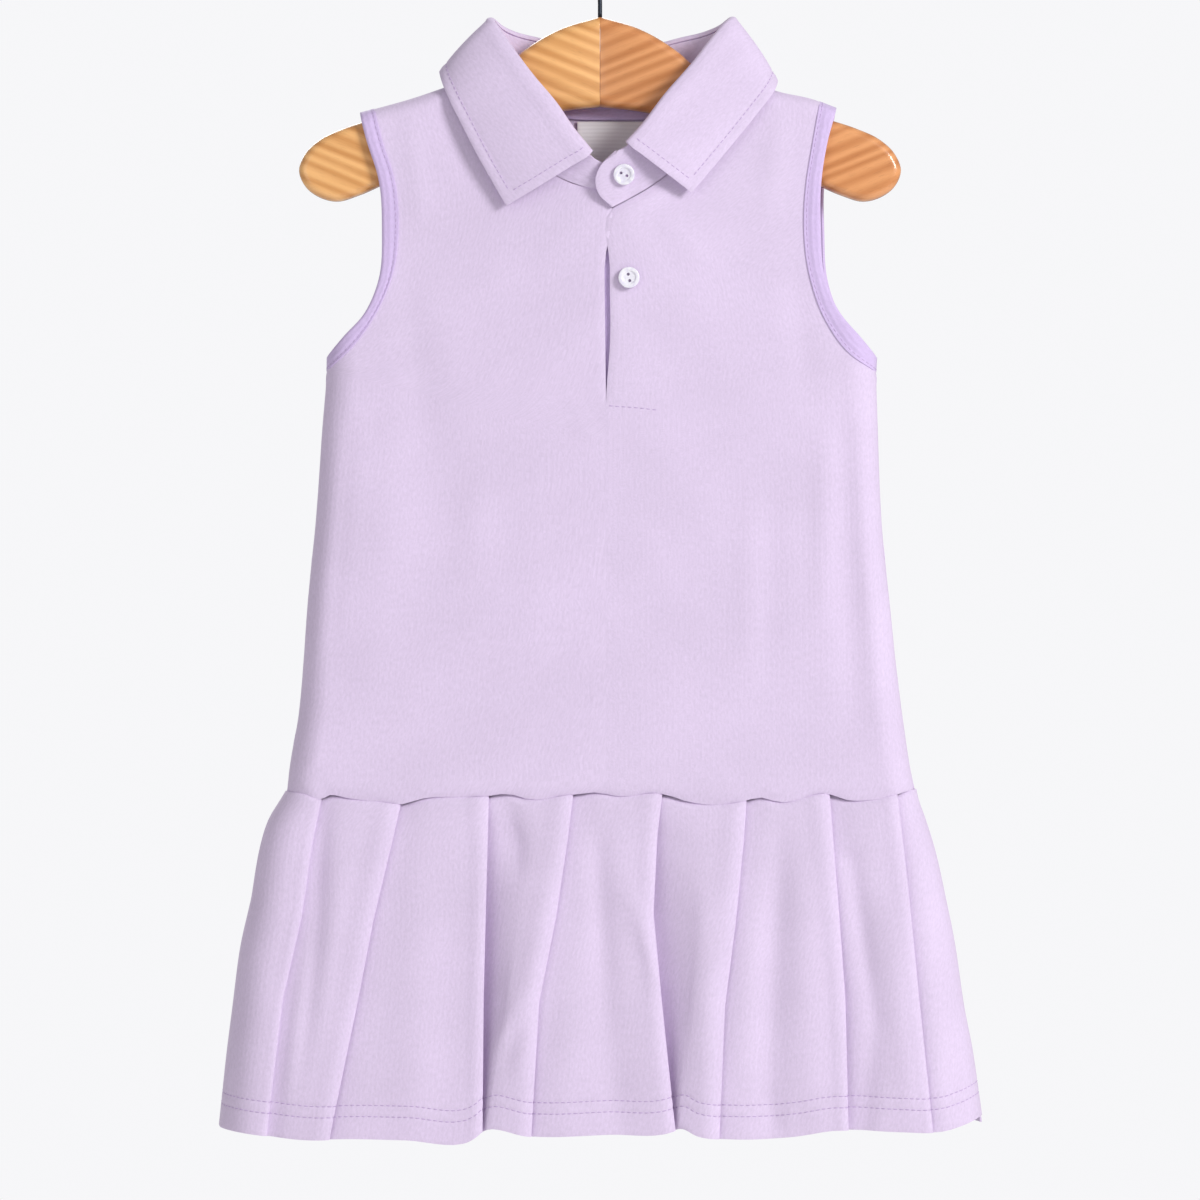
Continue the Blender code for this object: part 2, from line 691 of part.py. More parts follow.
def placket(group):
    """The under strip that shows in the slit and carries the buttons."""
    rows = []
    for z in np.linspace(PLACKET_TOP, PLACKET_BOTTOM, PLACKET_ROWS):
        row = []
        for share in PLACKET_SHARES:
            x = PLACKET_LEFT + (PLACKET_RIGHT - PLACKET_LEFT) * share
            row.append(on_body(x, z, "front", BODY_WALL + PLACKET_GAP))
        rows.append(row)
    sheet("placket_under", [rows], PLACKET_WALL, -1, group, "lavender_trim")


def neck_trim(group):
    """Tape along the back neck seam and the label below it."""
    rows = []
    for at in np.linspace(TAPE_FROM, TAPE_TO, TAPE_STEPS):
        here = neck_point(at)
        along = neck_point(at + STATION_STEP) - neck_point(at - STATION_STEP)
        across = unit(np.array((-along[1], along[0])))
        rows.append([on_body(*(here + across * width), "back", TRIM_DEPTH)
                     for width in (-TAPE_HALF_WIDTH, 0.0, TAPE_HALF_WIDTH)])
    sheet("neck_tape", [rows], TRIM_WALL, 0, group, "lavender_trim")
    rows = []
    for x in np.linspace(LABEL_LEFT, LABEL_RIGHT, LABEL_COLUMNS):
        rows.append([on_body(x, z, "back", TRIM_DEPTH)
                     for z in np.linspace(LABEL_BOTTOM, LABEL_TOP, LABEL_ROWS)])
    sheet("label", [rows], TRIM_WALL, 0, group, "white_label")


class SkirtRing:
    """Smooth outline of the skirt at one level, measured along its own length."""

    def __init__(self, level):
        left, right, front, back, rounding, wrap = [read(SKIRT_FINE, c, level)
                                                    for c in range(1, 7)]
        middle = (left + right) / 2
        half = (right - left) / 2
        turns = np.linspace(0, math.pi, RING_STEPS)
        xs = middle - half * np.cos(turns)
        swell = np.array([round_over((half - abs(x - middle)) / rounding) for x in xs])
        points = np.concatenate((np.stack((xs, -front * swell), 1),
                                 np.stack((xs, back * swell), 1)[-2::-1]))
        steps = np.linalg.norm(np.diff(points, axis=0), axis=1)
        self.lengths = np.concatenate(((0.0,), np.cumsum(steps)))
        self.points = points
        self.front_x = xs
        self.half = self.lengths[len(xs) - 1]
        self.total = self.lengths[-1]
        self.wrap = wrap

    def at_x(self, x):
        """Length along the front at which the outline reaches x."""
        return float(np.interp(x, self.front_x, self.lengths[:len(self.front_x)]))

    def place(self, length, outward):
        """Point at a length along the outline, moved outwards."""
        def on_line(where):
            where = where % self.total
            return np.array([np.interp(where, self.lengths, self.points[:, c]) for c in (0, 1)])
        ahead = unit(on_line(length + RING_REACH) - on_line(length - RING_REACH))
        return on_line(length) + outward * np.array((ahead[1], -ahead[0]))


def pleat_path(pleats, start, end):
    """Cloth's path round one side of a ring as pairs of length and outward offset."""
    pitch = LAYER_PITCH
    path = [(start, 0.0)]
    first = pleats[0]["edge"]
    path += [(start + (first - start) * share, 0.0) for share in SIDE_SHARES]
    for i, pleat in enumerate(pleats):
        edge = pleat["edge"]
        back = pleat["back"]
        deep = max(pleat["deep"], LEAST_FOLD_LAYERS * pitch)
        under = 2 * pitch + UNDER_SLACK if pleat["open"] < OPEN_FROM else OPEN_UNDER
        tip = np.array((edge - back, -deep))
        inwards = unit(tip - np.array((edge - FOLD_TURN, -pitch * FOLD_SLOPE)))
        square = np.array((inwards[1], -inwards[0])) * pitch / 2
        leg_in = tip - inwards * FOLD_TURN + square
        leg_out = tip - inwards * FOLD_TURN - square
        turned = np.array((edge - FOLD_TURN, -pitch))
        out_again = edge + pleat["open"]
        forward = np.array((out_again, -under))
        path += [
            (edge - FOLD_TURN, 0.0),
            (edge, -pitch / 2),
            tuple(turned),
            tuple((turned + leg_in) / 2),
            tuple(leg_in),
            tuple(tip),
            tuple(leg_out),
            tuple((leg_out + forward) / 2),
            tuple(forward),
        ]
        if i + 1 < len(pleats):
            flat = pleats[i + 1]["edge"] - pleats[i + 1]["back"] - FOLD_TURN
            shares = PANEL_SHARES
        else:
            flat = end
            shares = LAST_PANEL_SHARES
        for share in shares:
            depth = -under * (1 - share) ** UNDER_EASE
            path.append((out_again + (flat - out_again) * share, depth))
    path.append((end, 0.0))
    return path


def pleat_at(columns, level):
    """One pleat's sizes at a level."""
    return {name: float(np.interp(level, PLEAT_HEIGHTS, values))
            for name, values in columns.items()}


def skirt_side(group, side, levels):
    """One pleated half of the skirt, from seam to seam."""
    rows = []
    for level in levels:
        ring = SkirtRing(level)
        if side == "front":
            start = ring.wrap + WAIST_SEAM_GAP / 2
            end = ring.half - WAIST_SEAM_GAP / 2
            pleats = [pleat_at(columns, level) for columns in FRONT_PLEATS]
            for pleat in pleats:
                pleat["edge"] = ring.at_x(pleat["edge"])
        else:
            start = ring.half + WAIST_SEAM_GAP / 2
            end = ring.total + ring.wrap - WAIST_SEAM_GAP / 2
            pleats = []
            for i in range(BACK_PLEAT_COUNT):
                pleat = pleat_at(BACK_PLEAT, level)
                share = (i + BACK_PLEAT_START) / (BACK_PLEAT_COUNT + BACK_PLEAT_SPARE)
                pleat["edge"] = (start + (ring.total - start) * share
                                 + BACK_PLEAT_SWAY[i] * level)
                pleats.append(pleat)
        row = []
        for length, outward in pleat_path(pleats, start, end):
            x, y = ring.place(length, outward)
            top = waist_z(x) - WAIST_SEAM_GAP
            front_share = 1.0 if side == "front" else max(0.0, min(1.0, -y / HEM_WRAP_DEPTH))
            bottom = read(HEM_FINE, 1, x) * front_share + HEM_BACK_Z * (1 - front_share)
            row.append((x, y, top + (bottom - top) * level))
        rows.append(row)
    sheet("skirt_" + side, [rows], SKIRT_WALL, 0, group, "lavender_knit")


def curve_object(name, group, material):
    """A new curve object with its material, and its curve."""
    curve = bpy.data.curves.new(name, "CURVE")
    curve.materials.append(finish(material))
    thing = bpy.data.objects.new(name, curve)
    group.objects.link(thing)
    return thing, curve


def as_mesh(thing, group):
    """Swap a curve object for its welded mesh."""
    evaluated = thing.evaluated_get(bpy.context.evaluated_depsgraph_get())
    mesh = bpy.data.meshes.new_from_object(evaluated)
    name = thing.name
    place = thing.matrix_world.copy()
    bpy.data.objects.remove(thing)
    solid = bpy.data.objects.new(name, mesh)
    solid.matrix_world = place
    group.objects.link(solid)
    weld(solid)
    return solid


def hanger(group):
    """Flat wooden hanger with rounded edges, from its outline."""
    half = fine_table(HANGER_OUTLINE, HANGER_SPAN_STEPS)
    outline = [tuple(p) for p in half] + [(-x, z) for x, z in half[-2:0:-1]]
    thing, curve = curve_object("hanger", group, "varnished_wood")
    curve.dimensions = "2D"
    curve.fill_mode = "BOTH"
    curve.extrude = (HANGER_THICK / 2 - HANGER_EDGE) * MM
    curve.bevel_depth = HANGER_EDGE * MM
    curve.bevel_resolution = 1
    curve.offset = -HANGER_EDGE * MM
    path = curve.splines.new("POLY")
    path.points.add(len(outline) - 1)
    for point, (x, z) in zip(path.points, outline):
        point.co = (x * MM, z * MM, 0.0, 1.0)
    path.use_cyclic_u = True
    thing.rotation_euler = (math.radians(90), 0.0, 0.0)
    bpy.context.view_layer.update()
    solid = as_mesh(thing, group)
    solid.data.shade_smooth()
    solid.data.set_sharp_from_angle(angle=math.radians(SMOOTH_ANGLE))


def hook(group):
    """Wire hook with its crown over the origin and its foot on the wood."""
    thing, curve = curve_object("hook", group, "black_wire")
    curve.dimensions = "3D"
    curve.bevel_depth = WIRE_RADIUS * MM
    curve.bevel_resolution = 2
    curve.use_fill_caps = True
    centre_radius = CROWN_RADIUS + WIRE_RADIUS
    points = []
    for angle in np.linspace(HOOK_TIP_ANGLE, HOOK_TURN_ANGLE, HOOK_STEPS):
        turn = math.radians(angle)
        points.append((centre_radius * math.cos(turn),
                       -CROWN_RADIUS + centre_radius * math.sin(turn)))
    points += HOOK_STEM
    points.append((0.0, HOOK_FOOT_Z))
    path = curve.splines.new("POLY")
    path.points.add(len(points) - 1)
    for point, (x, z) in zip(path.points, points):
        point.co = (x * MM, 0.0, z * MM, 1.0)
    bpy.context.view_layer.update()
    as_mesh(thing, group).data.shade_smooth()


def button_seat(name, x, z, tilt):
    """Depth of a tilted button's back so that it clears the cloth under all of it."""
    if name == "button_top":
        cloth = [stand_point(at, share) for at in np.linspace(RIGHT_FRONT - 1, TAB_END, SEAT_COLUMNS)
                 for share in np.linspace(0, 1, SEAT_ROWS)]
        wall = COLLAR_WALL / 2
    else:
        cloth = [on_body(x + dx, z + dz, "front") for dx in (-BUTTON_RADIUS, 0, BUTTON_RADIUS)
                 for dz in (-BUTTON_RADIUS, 0, BUTTON_RADIUS)]
        wall = 0.0
    nearest = min(p[1] * math.cos(tilt) + (p[2] - z) * math.sin(tilt) for p in cloth
                  if math.hypot(p[0] - x, p[2] - z) < BUTTON_RADIUS * SEAT_REACH)
    return (nearest - wall - BUTTON_SEAT) / math.cos(tilt)


def turned_object(name, profile, group, material):
    """A body turned about Z from a profile of radius and height, in millimetres."""
    mesh = bpy.data.meshes.new(name)
    points = [(radius * MM, 0.0, height * MM) for radius, height in profile]
    mesh.from_pydata(points, [(i, i + 1) for i in range(len(points) - 1)], [])
    mesh.materials.append(finish(material))
    thing = bpy.data.objects.new(name, mesh)
    group.objects.link(thing)
    screw = thing.modifiers.new("turn", "SCREW")
    screw.steps = BUTTON_SIDES
    screw.render_steps = BUTTON_SIDES
    screw.use_merge_vertices = True
    screw.merge_threshold = 0.00001
    return thing


def drill_hole(button, label, x, y, cutters):
    """Cut a round hole through a button at a place on its face."""
    bpy.ops.mesh.primitive_cylinder_add(vertices=DRILL_SIDES, radius=BUTTON_HOLE_RADIUS * MM,
                                        depth=DRILL_LENGTH * MM)
    drill = bpy.context.object
    drill.name = "drill_" + label
    for old in list(drill.users_collection):
        old.objects.unlink(drill)
    cutters.objects.link(drill)
    drill.parent = button
    drill.location = (x * MM, y * MM, 0.0)
    drill.hide_render = True
    drill.display_type = "WIRE"
    cut = button.modifiers.new("hole", "BOOLEAN")
    cut.object = drill
    cut.operation = "DIFFERENCE"


def buttons(group, cutters):
    """Two-hole buttons with a raised rim and a recess, turned from a profile."""
    for name, x, z, turn, tilt in BUTTONS:
        button = turned_object(name, BUTTON_PROFILE, group, "pearl_button")
        across = BUTTON_HOLE_OFFSET * math.cos(math.radians(turn))
        down = BUTTON_HOLE_OFFSET * math.sin(math.radians(turn))
        drill_hole(button, name + "_a", across, -down, cutters)
        drill_hole(button, name + "_b", -across, down, cutters)
        lean = math.radians(tilt)
        button.location = (x * MM, button_seat(name, x, z, lean) * MM, z * MM)
        button.rotation_euler = (math.radians(90) + lean, 0.0, 0.0)


def main():
    """Build every piece of the dress and its hanger."""
    for thing in list(bpy.data.objects):
        bpy.data.objects.remove(thing)
    dress = collection("tennis_dress")
    cutters = collection("cutters")
    body_panels(dress)
    bindings(dress)
    collar(dress)
    placket(dress)
    neck_trim(dress)
    skirt_side(dress, "front", FRONT_LEVELS)
    skirt_side(dress, "back", BACK_LEVELS)
    hanger(dress)
    hook(dress)
    buttons(dress, cutters)


main()
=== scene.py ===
"""Looks of a child's pleated tennis dress with a polo collar, hung on a wooden hanger.

+Z is up, the front of the dress faces -Y, and the origin is the underside of the hook's
crown. The tables hold millimetres, and one factor turns them into metres.
"""

import json
import math

import bmesh
import bpy
import numpy as np
from bpy.props import FloatProperty, FloatVectorProperty, PointerProperty
from mathutils import Matrix, Vector

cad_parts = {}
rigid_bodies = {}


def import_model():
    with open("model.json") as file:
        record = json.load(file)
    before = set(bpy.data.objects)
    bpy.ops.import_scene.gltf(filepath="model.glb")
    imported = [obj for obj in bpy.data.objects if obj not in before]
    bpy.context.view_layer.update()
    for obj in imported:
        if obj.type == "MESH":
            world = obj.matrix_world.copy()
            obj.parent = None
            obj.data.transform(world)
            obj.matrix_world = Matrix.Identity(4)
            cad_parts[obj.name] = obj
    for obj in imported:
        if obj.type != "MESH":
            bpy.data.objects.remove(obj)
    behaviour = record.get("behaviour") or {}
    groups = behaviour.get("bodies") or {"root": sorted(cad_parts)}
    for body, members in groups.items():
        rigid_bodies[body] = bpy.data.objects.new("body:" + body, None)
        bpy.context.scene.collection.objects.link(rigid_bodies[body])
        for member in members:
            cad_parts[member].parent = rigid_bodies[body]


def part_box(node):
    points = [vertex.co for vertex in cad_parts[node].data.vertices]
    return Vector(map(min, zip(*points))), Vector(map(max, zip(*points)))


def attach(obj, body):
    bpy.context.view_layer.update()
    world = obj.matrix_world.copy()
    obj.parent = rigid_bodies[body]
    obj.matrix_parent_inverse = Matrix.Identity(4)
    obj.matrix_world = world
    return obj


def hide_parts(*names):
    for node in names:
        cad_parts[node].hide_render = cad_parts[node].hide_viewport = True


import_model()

bl_info = {
    "name": "Tennis dress",
    "version": (1, 0, 0),
    "blender": (4, 5, 0),
    "location": "View3D > Sidebar > Dress",
    "description": "Builds a child's pleated tennis dress on a wooden hanger",
    "category": "Object",
}

MM = 0.001
BODY = "root"

# Walls that the fold of a pleat is worked out from, and gaps between the sewn pieces
SKIRT_WALL = 1.0
PLACKET_WALL = 1.2
SEAM_HALF_GAP = 0.12
NECK_SEAM_GAP = 0.5
ROLL_SEAM_GAP = 0.3
STAND_INSET = 1.3
STAND_INSET_REACH = 13.0
WAIST_SEAM_GAP = 0.1
LAYER_GAP = 0.5

# Body form
SIDE_ROUND = 15.0
SHOULDER_ROUND = 8.0
SHOULDER_REACH = 30.0
CHEST_LIFT = 5.0
CHEST_CENTRE_X = 5.0
CHEST_CENTRE_Z = -165.0
CHEST_SPREAD_X = 45.0
CHEST_SPREAD_Z = 55.0

# Height z, outline x on the left and right, fullness to the front and to the back
BODY_TABLE = (
    (-86.0, -138.4, 139.9, 9.0, 10.5),
    (-160.0, -138.4, 139.9, 10.5, 11.0),
    (-241.3, -138.4, 139.9, 12.5, 12.0),
    (-272.0, -140.9, 140.9, 13.0, 12.5),
    (-302.0, -142.9, 141.9, 13.4, 13.0),
    (-332.0, -145.4, 143.8, 13.8, 13.4),
    (-362.0, -148.6, 147.3, 14.2, 13.8),
    (-393.0, -150.6, 150.3, 14.8, 14.2),
    (-423.0, -153.8, 154.3, 15.4, 14.6),
    (-440.0, -157.0, 156.8, 15.7, 14.8),
    (-456.0, -158.8, 159.6, 16.0, 15.0),
)

# Top line of the body, x and z, from the left armhole over the neck to the right armhole
SHOULDER_LINE = (
    (-125.0, -111.5),
    (-114.6, -108.6),
    (-96.0, -103.4),
    (-82.8, -99.0),
    (-50.5, -86.7),
    (5.0, -66.0),
    (61.6, -85.7),
    (88.9, -99.2),
    (108.0, -103.6),
    (120.2, -108.3),
    (125.0, -110.0),
)

# Armholes from the shoulder to the underarm: seam x and z, outer edge x and z, and how far
# the edge at the back stands out past the one at the front
ARMHOLE_LEFT = (
    (-114.6, -108.6, -121.6, -110.5, 0.0),
    (-110.6, -124.6, -118.0, -124.6, 0.0),
    (-104.2, -145.0, -111.7, -145.0, 0.0),
    (-102.2, -170.0, -110.0, -170.0, 0.0),
    (-105.5, -194.0, -111.5, -195.0, 0.0),
    (-113.4, -212.5, -118.7, -212.5, 0.0),
    (-124.5, -228.5, -129.5, -224.5, 0.0),
    (-138.4, -241.3, -138.3, -234.5, 0.0),
)
ARMHOLE_RIGHT = (
    (111.6, -104.9, 119.8, -108.1, 0.0),
    (107.8, -126.0, 114.8, -126.0, 2.0),
    (104.3, -148.0, 111.6, -147.0, 2.3),
    (103.3, -170.0, 111.4, -170.0, 2.6),
    (106.0, -193.0, 113.2, -193.5, 2.2),
    (113.6, -215.0, 120.5, -211.5, 1.2),
    (126.6, -233.0, 132.3, -225.5, 0.4),
    (139.8, -241.8, 140.2, -234.7, 0.0),
)
# Places of the body's rows along an armhole, counted in rows of the tables above
ARMHOLE_STEPS = (0.0, 0.03, 0.13, 0.3, 0.6, 1.1, 1.8, 2.6, 3.4, 4.2, 5.1, 5.9, 6.5, 6.78, 6.93,
                 7.0)
# Where a binding's edge lies in its wall
BINDING_SHIFT = -0.67

# Collar stations from the left front round the back to the right front: neck seam x and z,
# roll line x, y and z, outer edge of the fall x, y and z
COLLAR_TABLE = (
    (9.0, -152.5, 8.0, -16.6, -138.0, None, None, None),
    (2.5, -151.4, -4.0, -19.5, -131.2, -47.0, -16.5, -158.5),
    (-23.7, -142.8, -19.0, -18.8, -110.5, -60.5, -15.6, -135.0),
    (-43.9, -121.6, -34.3, -14.5, -91.8, -70.7, -14.2, -115.0),
    (-50.8, -97.5, -48.0, -7.2, -72.5, -78.5, -9.8, -98.6),
    (-50.5, -86.7, -54.0, 0.0, -62.5, -80.8, 0.0, -89.8),
    (-46.5, -97.5, -47.5, 8.0, -67.0, -75.5, 12.8, -100.0),
    (-28.0, -106.3, -27.0, 12.0, -72.6, -50.0, 15.6, -111.0),
    (5.6, -109.5, 5.6, 13.0, -78.7, 5.6, 17.0, -119.0),
    (39.0, -106.3, 36.5, 12.0, -72.6, 61.0, 15.6, -112.5),
    (57.5, -97.5, 59.0, 8.0, -66.5, 84.5, 13.4, -102.0),
    (61.6, -85.7, 65.7, 0.0, -62.0, 89.4, 0.0, -94.3),
    (61.4, -97.5, 57.5, -7.2, -72.0, 87.6, -10.8, -100.5),
    (50.5, -124.1, 42.5, -14.5, -91.5, 77.0, -14.2, -114.5),
    (33.0, -143.8, 26.5, -19.4, -109.5, 61.5, -15.9, -133.5),
    (14.0, -155.6, 13.1, -22.6, -126.6, 46.0, -17.6, -151.9),
    (6.1, -160.0, 8.4, -23.0, -129.2, None, None, None),
)
LEFT_FRONT = 1
LEFT_SIDE = 5
RIGHT_SIDE = 11
RIGHT_FRONT = 15
TAB_END = 16
# Places of the neckline's rows, counted from the shoulder towards the front and the back
FRONT_NECK_STEPS = (0.0, 0.08, 0.2, 0.4, 0.8, 1.4, 2.1, 2.8, 3.4, 4.0)
BACK_NECK_STEPS = (0.0, 0.08, 0.2, 0.4, 0.8, 1.3, 1.8, 2.4, 3.0)
TAB_BULGE = 9.5
TAB_LIFT = 2.2
# Step either side of a station over which the collar's directions are taken
STATION_STEP = 0.02
LEAST_SLANT = 0.3
STAND_ROWS = (0.0, 0.25, 0.5, 0.75, 1.0)
ROLL_RADIUS = 1.9
FALL_BULGE = 1.4
# Angles of the turn over the roll line, and places down the fall
ROLL_ANGLES = (180.0, 125.0, 70.0, 15.0)
FALL_ROWS = (0.2, 0.4, 0.6, 0.8, 1.0)

# Front slit from the neckline down: z, x of the left edge, x of the right flap's edge
SLIT_TABLE = (
    (-160.0, 0.4, 6.1),
    (-178.0, 2.0, 6.0),
    (-195.0, 2.4, 4.6),
    (-222.0, 2.6, 5.2),
    (-244.0, 2.9, 4.9),
    (-259.0, 3.0, 3.0),
)
CENTRE_X = 3.0
BACK_CENTRE_X = 5.6

# Under strip of the placket
PLACKET_LEFT = -4.0
PLACKET_RIGHT = 24.0
PLACKET_TOP = -163.0
PLACKET_BOTTOM = -262.0
PLACKET_GAP = 0.8
PLACKET_ROWS = 7
PLACKET_SHARES = (0.0, 0.2, 0.45, 0.7, 1.0)

# Heights of the body's lower rows: at the side and at the centre
LOWER_ROWS = (
    (-251.0, -283.0),
    (-266.0, -294.0),
    (-288.0, -309.0),
    (-318.0, -331.0),
    (-350.0, -358.0),
    (-384.0, -388.0),
    (-416.0, -418.0),
    (-440.0, -440.0),
)
# Heights of the centre between the neckline and the underarm's row, front and back
FRONT_CENTRE_ROWS = (-190.0, -225.0, -259.0, -267.0, -272.0, -276.0)
BACK_CENTRE_ROWS = (-132.0, -168.0, -210.0, -248.0, -262.0, -270.0, -276.0)
# Shares of a row's width from the side to the centre
COLUMN_SHARES = (0.0, 0.002, 0.014, 0.04, 0.09, 0.17, 0.3, 0.46, 0.64, 0.82, 1.0)

# Height of the hem at the back
HEM_BACK_Z = -622.0
# How far round a side the front's hem line fades into the back's
HEM_WRAP_DEPTH = 10.0

# Skirt outline down its length: share of the length, x at the left and right, depth to the
# front and to the back, rounding at the sides, arc by which the left seam lies forward
SKIRT_TABLE = (
    (0.00, -158.9, 159.9, 15.6, 14.6, 15.0, 0.0),
    (0.03, -161.8, 161.0, 16.2, 15.2, 15.5, 0.5),
    (0.10, -168.3, 165.0, 17.2, 16.2, 16.0, 2.0),
    (0.20, -173.0, 170.0, 18.8, 17.6, 17.0, 5.0),
    (0.33, -176.8, 174.8, 20.4, 19.2, 18.0, 9.0),
    (0.50, -183.0, 180.4, 22.6, 21.2, 19.5, 12.0),
    (0.65, -186.2, 184.0, 24.4, 22.8, 20.5, 13.0),
    (0.80, -189.4, 188.6, 26.0, 24.4, 21.5, 14.0),
    (1.00, -193.0, 193.2, 27.5, 26.0, 22.0, 14.0),
)
# Points of half a ring, and the length over which its direction is taken
RING_STEPS = 160
RING_REACH = 0.8

# Knife pleats across the front at five heights. Each fold lies over the next panel and its
# edge faces right. Rows hold the edge's x, how far it folds back, how deep the fold goes,
# and how far right of the edge the next panel comes forward again.
PLEAT_HEIGHTS = (0.0, 0.12, 0.35, 0.6, 1.0)
FRONT_PLEATS = (
    {"edge": (-141.0, -145.0, -150.5, -160.0, -168.0), "back": (6.0, 6.0, 5.0, 4.0, 3.5),
     "deep": (2.3, 2.6, 2.8, 2.6, 2.4), "open": (0.4, 0.4, 0.4, 0.4, 0.4)},
    {"edge": (-101.0, -105.5, -114.5, -122.5, -136.5), "back": (13.0, 13.0, 12.5, 12.0, 11.0),
     "deep": (2.3, 3.0, 4.0, 5.0, 6.0), "open": (0.4, 0.4, 0.4, 0.4, 0.4)},
    {"edge": (-56.5, -57.0, -58.0, -59.0, -59.5), "back": (13.0, 9.0, 8.0, 7.5, 8.0),
     "deep": (2.3, 8.0, 14.0, 17.0, 17.0), "open": (0.4, 16.0, 13.5, 11.0, 2.2)},
    {"edge": (-14.0, -16.5, -22.5, -31.0, -35.0), "back": (13.0, 13.0, 12.5, 12.0, 11.0),
     "deep": (2.3, 3.4, 4.6, 5.6, 6.4), "open": (0.4, 0.4, 0.4, 0.4, 0.4)},
    {"edge": (31.0, 28.5, 26.5, 30.5, 37.5), "back": (13.0, 9.0, 8.0, 7.5, 8.0),
     "deep": (2.3, 8.0, 14.0, 17.0, 17.0), "open": (0.4, 14.0, 19.5, 14.0, 1.8)},
    {"edge": (73.5, 72.0, 68.0, 62.5, 59.5), "back": (13.0, 13.0, 12.5, 12.0, 11.0),
     "deep": (2.3, 3.4, 4.6, 5.6, 6.4), "open": (0.4, 0.4, 0.4, 0.4, 0.4)},
    {"edge": (115.5, 117.0, 120.0, 123.0, 124.5), "back": (13.0, 12.0, 10.0, 8.0, 6.5),
     "deep": (2.3, 3.4, 5.0, 7.0, 8.0), "open": (0.4, 1.2, 4.0, 9.5, 11.5)},
    {"edge": (150.0, 152.0, 156.0, 160.0, 167.0), "back": (8.0, 8.0, 7.0, 6.0, 5.0),
     "deep": (2.3, 2.8, 3.4, 3.8, 4.0), "open": (0.4, 0.4, 0.4, 0.4, 0.4)},
)
# The back has as many pleats, spread evenly and swaying towards the hem by these lengths
BACK_PLEAT_SWAY = (0.0, -4.0, 3.0, 5.0, -3.0, 1.0, -5.0, 2.0)
BACK_PLEAT_COUNT = len(BACK_PLEAT_SWAY)
BACK_PLEAT_START = 0.75
BACK_PLEAT_SPARE = 0.4
BACK_PLEAT = {"back": (12.0, 12.0, 11.5, 11.0, 10.0), "deep": (2.3, 3.4, 4.8, 6.0, 7.0),
              "open": (0.4, 1.0, 2.0, 3.0, 4.0)}
LAYER_PITCH = SKIRT_WALL + LAYER_GAP
FOLD_TURN = 1.3
FOLD_SLOPE = 0.75
# Least depth of a fold in layers, the slack under it, and the depth the next panel starts
# from where a fold stands open by OPEN_FROM or more
LEAST_FOLD_LAYERS = 1.5
UNDER_SLACK = 0.4
OPEN_FROM = 2.0
OPEN_UNDER = 2.4
UNDER_EASE = 1.5
# Places of the points between the left seam and the first fold
SIDE_SHARES = (0.06, 0.2, 0.4, 0.62, 0.82)
# Places of the points on a panel between two folds, and from the last fold to the seam
PANEL_SHARES = (0.5, 1.0)
LAST_PANEL_SHARES = (0.35, 0.7, 0.92)

# Hanger, one half from the top centre round the end to the bottom centre, x and z
HANGER_OUTLINE = (
    (0.0, -62.0),
    (20.2, -68.2),
    (40.9, -80.8),
    (50.5, -89.4),
    (66.0, -96.8),
    (83.0, -103.6),
    (98.0, -109.2),
    (113.6, -113.4),
    (130.0, -118.6),
    (141.5, -124.0),
    (149.2, -131.2),
    (152.5, -139.8),
    (149.4, -147.8),
    (142.4, -153.2),
    (133.6, -155.4),
    (122.5, -152.4),
    (108.0, -146.0),
    (80.0, -134.0),
    (52.0, -121.6),
    (26.0, -111.0),
    (0.0, -107.4),
)
HANGER_EDGE = 4.5

# Hook wire, the crown's inner side touching the origin
CROWN_RADIUS = 18.0
HOOK_TIP_ANGLE = 192.0
HOOK_TURN_ANGLE = -42.0
HOOK_STEPS = 20
HOOK_STEM = ((7.2, -36.6), (1.9, -42.6), (0.0, -49.0), (0.0, -55.0))
HOOK_FOOT_Z = -61.6

# Buttons
BUTTON_HOLE_RADIUS = 0.75
BUTTON_HOLE_OFFSET = 1.65
# Name, x, z, turn of its holes and tilt of its face in degrees
BUTTONS = (
    ("button_top", 12.1, -142.8, 26.0, 13.0),
    ("button_lower", 14.6, -194.8, 78.0, 0.0),
)

# Neck tape and label on the inside of the back
TAPE_FROM = 6.75
TAPE_TO = 9.25
TAPE_STEPS = 12
TAPE_HALF_WIDTH = 4.0
TRIM_DEPTH = 2.6
LABEL_LEFT = -11.6
LABEL_RIGHT = 23.4
LABEL_TOP = -114.2
LABEL_BOTTOM = -136.0
LABEL_COLUMNS = 4
LABEL_ROWS = 3

# Waist seam with the small bumps over the pleats, x and z
BUMPY_WAIST = (
    (-172.0, -453.0),
    (-157.6, -454.4),
    (-149.5, -455.4),
    (-139.9, -457.7),
    (-137.4, -456.1),
    (-127.3, -457.4),
    (-111.1, -459.4),
    (-98.0, -460.2),
    (-92.9, -458.4),
    (-60.6, -456.9),
    (-44.9, -455.4),
    (-37.4, -457.7),
    (-11.6, -455.4),
    (0.0, -454.6),
    (6.6, -456.2),
    (34.8, -455.9),
    (40.9, -458.2),
    (74.7, -458.4),
    (77.5, -457.4),
    (84.8, -457.6),
    (88.4, -459.0),
    (116.7, -455.6),
    (124.2, -458.2),
    (137.9, -458.2),
    (159.6, -453.2),
    (172.0, -452.0),
)
